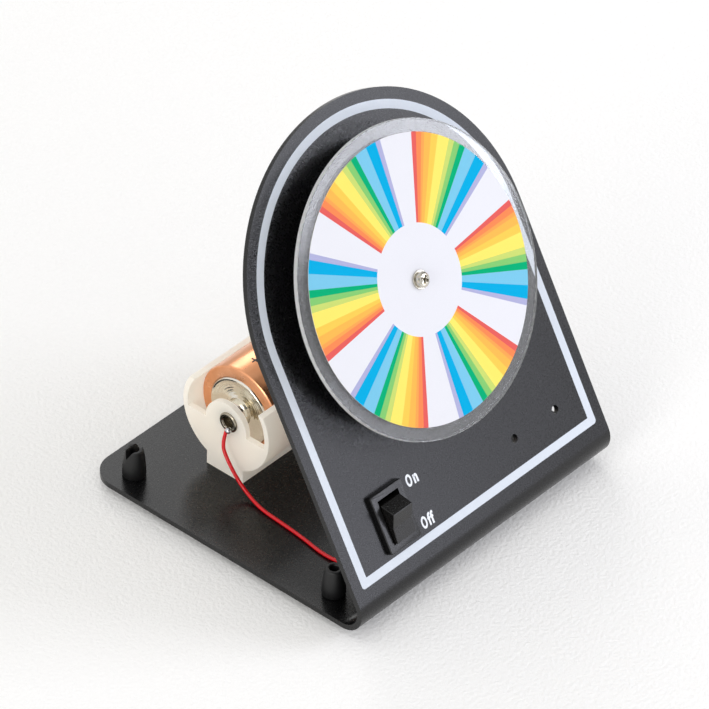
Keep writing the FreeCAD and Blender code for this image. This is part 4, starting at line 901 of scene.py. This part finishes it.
@dataclass
class Cradle:
    """The moulded battery holder and its two hollow eyelets, in the frame of the cell's axis."""

    left: float = -33.0
    height: float = 22.6
    length: float = 72.5
    bore: float = 17.2
    shell: float = 19.1
    end_wall: float = 2.0
    lip: float = 9.9
    wall_top: float = -2.8
    # Place across the axis, height over it and radius of the end walls' tabs and of the eyelets.
    tab: Point = (-0.1, -1.9, 9.0)
    eyelet: Point = (-1.4, 0.1, 2.6)
    foot_half: float = 8.1
    recess: float = 2.2
    recess_half: float = 17.0
    rail: float = 3.0
    screw_hole: float = 1.6
    screw_sink: float = 3.0

    def place(self) -> Matrix:
        """Gives the matrix from the cell's axis frame to the row frame."""
        return stand_frame() @ Matrix.Translation((self.left, HOLDER_BACK, SHEET + self.height))

    def build(self) -> None:
        """Makes the moulding and its eyelets."""
        self.moulding()
        self.rivet("positive_rivet", "positive_eyelet", 0.0, 1.0)
        self.rivet("negative_rivet", "negative_eyelet", self.length, -1.0)

    def moulding(self) -> None:
        """Makes the snap-in shell with its end walls, tabs and foot."""
        end, foot, floor, seat = self.length, self.foot_half, -self.height, -self.bore
        blank = Blank.rod(self.shell, (0, 0, 0), (end, 0, 0), 192)
        blank.join(Blank.box((0, -foot, floor), (end, foot, seat / 2)))
        cavity = Blank.rod(self.bore, (-PAST / 2, 0, 0), (end + PAST / 2, 0, 0), 192)
        cavity.cut(self.wall_block(-PAST, self.end_wall))
        cavity.cut(self.wall_block(end - self.end_wall, end + PAST))
        blank.cut(cavity)
        blank.cut(Blank.box((-PAST, -25, self.lip), (end + PAST, 25, 25)))
        across, up, radius = self.eyelet
        blank.cut(Blank.rod(radius, (-PAST, across, up), (end + PAST, across, up), 64))
        middle = end / 2
        blank.cut(Blank.box((middle - self.recess_half, -foot + self.rail, floor - PAST),
                            (middle + self.recess_half, foot - self.rail, floor + self.recess)))
        for across in HOLDER_SCREWS:
            along = across - self.left
            blank.cut(Blank.rod(self.screw_hole, (along, 0, floor - PAST), (along, 0, seat + PAST),
                                32))
            blank.cut(Blank.rod(self.screw_hole, (along, 0, seat - 1.6), (along, 0, seat - 0.2),
                                32, self.screw_sink))
        blank.piece("battery_cradle", Finishes.milky, self.place(), ["battery_holder"],
                    "holder_plastic")

    def wall_block(self, low: float, high: float) -> Blank:
        """Makes the part of the bore that an end wall fills, with its round tab on top.

        Args:
            low: Where it starts along the cell's axis.
            high: Where it ends.

        Returns:
            The new blank, wider than the bore.
        """
        across, up, radius = self.tab
        rise = math.asin((self.wall_top - up) / radius)
        arc = [rise + (math.pi - 2 * rise) * step / 96 for step in range(97)]
        outline = [(-20.0, -25.0, 0.0), (20.0, -25.0, 0.0), (20.0, self.wall_top, 0.0)]
        outline += [(across + radius * math.cos(a), up + radius * math.sin(a), 0.0) for a in arc]
        outline.append((-20.0, self.wall_top, 0.0))
        return Blank.slab(outline, low, high).moved(ALONG_FOLD)

    def rivet(self, name: str, node: str, along: float, way: float) -> None:
        """Makes a hollow eyelet with a rolled rim.

        Args:
            name: The piece's name.
            node: The node that it stands for.
            along: Place of the wall's outer face along the cell's axis.
            way: 1 if the rim faces the left end, -1 if it faces the right.
        """
        inner = self.end_wall + 0.6
        profile = [(2.5, -0.8), (2.2, -0.3), (2.2, inner + 0.8), (3.3, inner + 0.8),
                   (3.8, inner + 0.3), (3.8, inner), (2.6, inner), (2.6, 0), (3.8, 0),
                   (3.8, -0.4), (3.4, -0.8)]
        across, up, _ = self.eyelet
        wall = self.place() @ Matrix.Translation((along, across, up))
        facing = Matrix.Diagonal((way, 1, 1, 1)) @ QUARTER_TURN
        blank = Blank.turned(profile, 64).moved(wall @ facing)
        bmesh.ops.recalc_face_normals(blank.mesh, faces=blank.mesh.faces)
        blank.piece(name, Finishes.rivet, Matrix.Identity(4), [node], "plated_contact",
                    rounding=0.22, steps=3)


@dataclass
class Cell:
    """The D cell: dished nickel end with its nub, copper-coloured film and flat base."""

    tip: float = 3.4
    length: float = 61.5
    radius: float = 17.0
    crimp: float = 12.9
    shoulder: float = 3.5
    plus_along: float = 11.2
    plus_half: float = 1.5
    plus_stroke: float = 0.28
    plus_turn_deg: float = -1.5

    def place(self) -> Matrix:
        """Gives the matrix from the cell's own frame, z along it, to the row frame."""
        return Cradle().place() @ Matrix.Translation((self.tip, 0, 0)) @ QUARTER_TURN

    def build(self) -> None:
        """Makes the film, the two ends and the plus sign."""
        self.film()
        self.top()
        self.base()
        self.plus()

    def film(self) -> None:
        """Makes the printed film, rolled over both ends."""
        near, far, outer = self.shoulder, self.length - 0.6, self.radius
        profile = [(self.crimp, near), (15.9, near), (16.5, near + 0.12), (16.85, near + 0.45),
                   (outer, near + 1), (outer, far - 1), (16.85, far - 0.45),
                   (16.5, far - 0.12), (15.9, far), (self.crimp, far), (self.crimp, far - 0.5),
                   (16.6, far - 0.9), (16.6, near + 0.9), (self.crimp, near + 0.5)]
        Blank.turned(profile, 160).piece("cell_film", Finishes.copper_film, self.place(),
                                         ["cell_sleeve"], "copper_sleeve")

    def top(self) -> None:
        """Makes the dished positive end with its raised rim and nub."""
        base = self.shoulder
        profile = [(0, 0), (4, 0), (4.5, 0.12), (4.75, 0.6), (4.75, base - 0.8),
                   (5, base - 0.1), (5.6, base + 0.3), (7.4, base + 0.5), (9.4, base + 0.3),
                   (10.9, base - 0.1), (11.6, base - 0.5), (11.95, base - 0.62),
                   (12.3, base - 0.6), (12.55, base - 0.4), (12.75, base - 0.05),
                   (12.88, base + 0.4), (12.88, base + 1.6), (0, base + 1.6)]
        Blank.turned(profile, 128).piece("cell_top", Finishes.pressed, self.place(),
                                         ["cell_can", "cell_fill"], "cell_steel")

    def base(self) -> None:
        """Makes the flat negative end."""
        end = self.length
        profile = [(0, end - 1.5), (12.8, end - 1.5), (12.8, end - 0.5), (10.4, end - 0.5),
                   (9.9, end - 0.4), (9.3, end - 0.1), (9, end), (0, end)]
        Blank.turned(profile, 128).piece("cell_base", Finishes.nickel, self.place(),
                                         ["cell_negative_cap"], "cell_steel")

    def plus(self) -> None:
        """Prints the plus sign on the film."""
        half, stroke = self.plus_half, self.plus_stroke
        bar = Blank.box((-half, -stroke, -0.02), (half, stroke, 0.05))
        bar.join(Blank.box((-stroke, -half, -0.02), (stroke, half, 0.05)))
        along = Matrix.Translation((self.tip + self.plus_along, 0, 0))
        around = Matrix.Rotation(math.radians(self.plus_turn_deg), 4, "X")
        out = Matrix.Translation((0, 0, self.radius))
        bar.piece("plus_sign", Finishes.dark_ink, Cradle().place() @ along @ around @ out,
                  slot="copper_sleeve")


@dataclass
class DiscStack:
    """The spinning disc: hub, clear disc, printed label, washer and centre screw."""

    standoff: float = 10.4
    hole: float = 1.6
    disc_radius: float = 52.8
    disc_thickness: float = 1.8
    label_radius: float = 48.2
    label_thickness: float = 0.2
    gum: float = 0.005
    washer_radius: float = 3.25
    washer_thickness: float = 0.6
    recess_turn: float = 50.0
    recess_half: float = 1.65
    recess_stroke: float = 0.48
    recess_floor: float = 0.75
    hub_profile: tuple[Pair, ...] = (
        (1, 1.4), (3.6, 1.4), (4, 1.8), (4, 7.4), (5, 8.4), (8.7, 8.4), (9, 8.7),
        (9, 10.4), (1.5, 10.4), (1.5, 6.7), (1, 6.7),
    )

    def build(self) -> None:
        """Makes every piece on the motor's shaft in front of the panel."""
        place = spinner_frame()
        front = self.standoff + self.disc_thickness
        top = front + self.label_thickness
        seat = top + self.washer_thickness
        disc = Blank.ring(self.hole, self.disc_radius, self.standoff, front, 256).piece(
            "acrylic_disc", Finishes.acrylic, place, ["clear_disc"], "clear_acrylic",
            rounding=0.2, steps=3, body=Body.SPINNER)
        self.refinish(disc, Finishes.sawn, lambda facing: abs(facing) < 0.5)
        label = Blank.ring(self.hole, self.label_radius, front + self.gum, top, 256).piece(
            "printed_label", Finishes.paper, place, ["colour_label"], "label_paper",
            body=Body.SPINNER)
        self.refinish(label, Finishes.paper_back, lambda facing: facing < 0.5)
        Blank.ring(self.hole, self.washer_radius, top, seat, 64).piece(
            "washer", Finishes.zinc, place, ["disc_washer"], "zinc_steel", rounding=0.12,
            body=Body.SPINNER)
        self.screw(place, seat)
        Blank.turned(self.hub_profile, 96).piece(
            "turned_hub", Finishes.aluminium, place, ["hub"], "hub_aluminium", rounding=0.1,
            body=Body.SPINNER)

    @staticmethod
    def refinish(piece: bpy.types.Object, finish: Finish, wanted: Callable[[float], bool]) -> None:
        """Gives a second finish to the faces that look a certain way.

        Args:
            piece: The piece.
            finish: The second finish.
            wanted: Whether a face takes it, from how far the face looks along the disc's axis.
        """
        axis = (spinner_frame().to_3x3() @ Vector((0, 0, 1))).normalized()
        piece.data.materials.append(finish.build())
        for face in piece.data.polygons:
            face.material_index = int(wanted(face.normal.dot(axis)))

    def screw(self, place: Matrix, seat: float) -> None:
        """Takes the screw from its solid and opens up its worn cross recess.

        Args:
            place: The disc axis frame.
            seat: Height of the washer's face.
        """
        screw = Blank.node_copy("disc_screw")
        half, stroke = self.recess_half, self.recess_stroke
        for turn in (self.recess_turn, self.recess_turn + 90):
            bar = Blank.box((-half, -stroke, seat + self.recess_floor), (half, stroke, seat + 3.0))
            bar.moved(Matrix.Scale(1 / MM, 4) @ place @ Matrix.Rotation(math.radians(turn), 4, "Z"))
            screw.cut(bar)
        screw.piece("centre_screw", Finishes.zinc, Matrix.Scale(MM, 4), ["disc_screw"],
                    "zinc_steel", rounding=0.06, body=Body.SPINNER)


@dataclass
class Motor:
    """The motor behind the panel: drawn can and moulded rear cap; its inside stays as packed."""

    radius: float = 12.2
    inner: float = 11.4
    front: float = -2.0
    rear: float = -28.0

    def build(self) -> None:
        """Makes the can and the cap."""
        front, rear, outer = self.front, self.rear, self.radius
        profile = [(2.3, front + 1.6), (2.8, front + 1.6), (3.1, front + 1.3), (3.1, front),
                   (outer - 1.4, front), (outer - 0.6, front - 0.2), (outer - 0.2, front - 0.6),
                   (outer, front - 1.4), (outer, rear), (self.inner, rear),
                   (self.inner, front - 0.8), (2.3, front - 0.8)]
        Blank.turned(profile, 128).piece("drawn_can", Finishes.drawn, spinner_frame(),
                                         ["motor_can"], "motor_steel", rounding=0.15)
        Blank.node_copy("motor_cap").piece(
            "rear_cap", Finishes.natural_nylon, Matrix.Scale(MM, 4), ["motor_cap"],
            "motor_nylon", rounding=0.15)


@dataclass
class Switch:
    """The rocker switch: moulded frame and lever."""

    frame_edge: float = 0.25
    lever_edge: float = 0.3
    lever_crease_deg: float = 7.0

    def build(self) -> None:
        """Makes the frame and the lever from their solids, with moulded edges."""
        Blank.node_copy("switch_housing").piece(
            "switch_frame", Finishes.nylon, Matrix.Scale(MM, 4), ["switch_housing"],
            "switch_nylon", self.frame_edge)
        Blank.node_copy("rocker").piece(
            "switch_lever", Finishes.lever, Matrix.Scale(MM, 4), ["rocker"], "switch_nylon",
            self.lever_edge, 3, self.lever_crease_deg, Body.ROCKER)


@dataclass
class PlainParts:
    """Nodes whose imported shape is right, which only take their finish."""

    finishes: tuple[tuple[Finish, tuple[str, ...]], ...] = (
        (Finishes.nickel, ("positive_contact", "negative_contact", "negative_spring")),
        (Finishes.zinc, ("holder_screw_left", "holder_screw_right", "holder_nut_left",
                         "holder_nut_right", "motor_screw_left", "motor_screw_right")),
        (Finishes.drawn, ("motor_shaft",)),
        (Finishes.ferrite, ("motor_magnet_upper", "motor_magnet_lower")),
        (Finishes.bronze, ("front_bushing", "rear_bushing")),
        (Finishes.lamination, ("armature_core",)),
        (Finishes.winding, ("armature_coils", "commutator")),
        (Finishes.tinned, ("motor_brush_upper", "motor_brush_lower", "switch_terminal_upper",
                           "switch_terminal_lower")),
        (Finishes.tin, ("terminal_solder", "eyelet_solder")),
    )

    def build(self) -> None:
        """Gives each of these nodes its material."""
        for finish, nodes in self.finishes:
            for part in (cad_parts[node] for node in nodes):
                if not part.material_slots:
                    part.data.materials.append(finish.build())
                for slot in part.material_slots:
                    slot.material = finish.build()


@dataclass(frozen=True)
class Lamp:
    """One soft lamp: its place and size in metres, its brightness and its tint."""

    name: str
    place: Point
    size: Pair
    brightness: float
    tint: Point = (1.0, 1.0, 1.0)
    round: bool = True

    def build(self) -> None:
        """Hangs the lamp so that it faces the object."""
        data = bpy.data.lights.new(self.name, "AREA")
        data.shape = "ELLIPSE" if self.round else "RECTANGLE"
        data.size, data.size_y = self.size
        area = self.size[0] * self.size[1] * (math.pi / 4 if self.round else 1.0)
        data.energy = self.brightness * math.pi * area
        data.color = self.tint
        lamp = placed(self.name, data)
        lamp.visible_camera = False
        way = Vector((0.0, 0.0, 0.07)) - Vector(self.place)
        turn = way.to_track_quat("-Z", "Y").to_matrix().to_4x4()
        lamp.matrix_world = Matrix.Translation(self.place) @ turn


@dataclass
class Studio:
    """A white sweep in a light tent, with lamps where the panel and the plate mirror them."""

    floor_half: float = 6.0
    tent_right: float = 0.24
    tent_left: float = 1.2
    tent_way: Point = (-0.94, 0.0, 0.34)
    camera_side: Point = (-0.599, -0.502, 0.624)
    camera_shade: float = 0.3
    lamps: tuple[Lamp, ...] = (
        Lamp("panel_key", (0.8228, -0.8425, 0.5731), (0.70, 0.70), 5.3, (0.95, 0.97, 1.08)),
        Lamp("panel_strip", (0.4828, -1.1649, 0.1572), (0.50, 0.198), 6.5, (0.94, 0.96, 1.1),
             False),
        Lamp("rear_key", (0.6550, 0.9200, 0.6900), (0.58, 0.58), 2.9),
        Lamp("left_fill", (-1.249, -0.22, 0.59), (0.60, 0.60), 4.6, (1, 0.99, 0.97)),
    )

    def build(self) -> None:
        """Makes the floor, the tent and the lamps."""
        self.floor()
        self.tent()
        for lamp in self.lamps:
            lamp.build()

    def floor(self) -> None:
        """Lays the white sweep."""
        bm = bmesh.new()
        bmesh.ops.create_grid(bm, x_segments=1, y_segments=1, size=self.floor_half)
        mesh = bpy.data.meshes.new("floor")
        bm.to_mesh(mesh)
        bm.free()
        mesh.materials.append(Finishes.sweep.build())
        placed("floor", mesh)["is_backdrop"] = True

    def tent(self) -> None:
        """Surrounds the object with white light, brightest on its left, dim where the camera is."""
        world = bpy.data.worlds.new("tent")
        bpy.context.scene.world = world
        nodes = Nodes(world)
        way = nodes.add("TexCoord").outputs["Generated"]
        side, towards = [
            nodes.add("VectorMath", {0: way, 1: aim}, operation="DOT_PRODUCT").outputs["Value"]
            for aim in (self.tent_way, self.camera_side)]
        sky = nodes.mapped(side, (-1.0, 1.0), (self.tent_right, self.tent_left))
        shade = nodes.mapped(towards, (0.9, 0.99), (1.0, self.camera_shade),
                             interpolation_type="SMOOTHSTEP")
        room = nodes.add("Background", {
            "Color": (1.0, 1.0, 1.0, 1.0), "Strength": nodes.number("MULTIPLY", sky, shade)})
        # The camera itself sees plain white behind the floor.
        white = nodes.add("Background", {"Color": (0.93, 0.93, 0.93, 1.0), "Strength": 1.0})
        seen = nodes.add("MixShader", {
            0: nodes.add("LightPath").outputs["Is Camera Ray"], 1: room.outputs[0],
            2: white.outputs[0]})
        nodes.add("OutputWorld", {0: seen.outputs[0]})


def main() -> None:
    """Builds the camera, the lead, every sub-assembly and the studio, in that order."""
    logging.basicConfig(level=logging.INFO, format="%(name)s: %(message)s")
    bpy.context.scene.view_settings.view_transform = "Standard"
    for work in (View(), Lead(), Stand(), *FEET, Cradle(), Cell(), DiscStack(), Motor(), Switch(),
                 PlainParts(), Studio()):
        work.build()
        LOG.info("built %s", type(work).__name__)
    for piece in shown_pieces():
        LOG.info("piece %s has %d materials", piece.name, len(piece.material_slots))


if __name__ == "__main__":
    main()
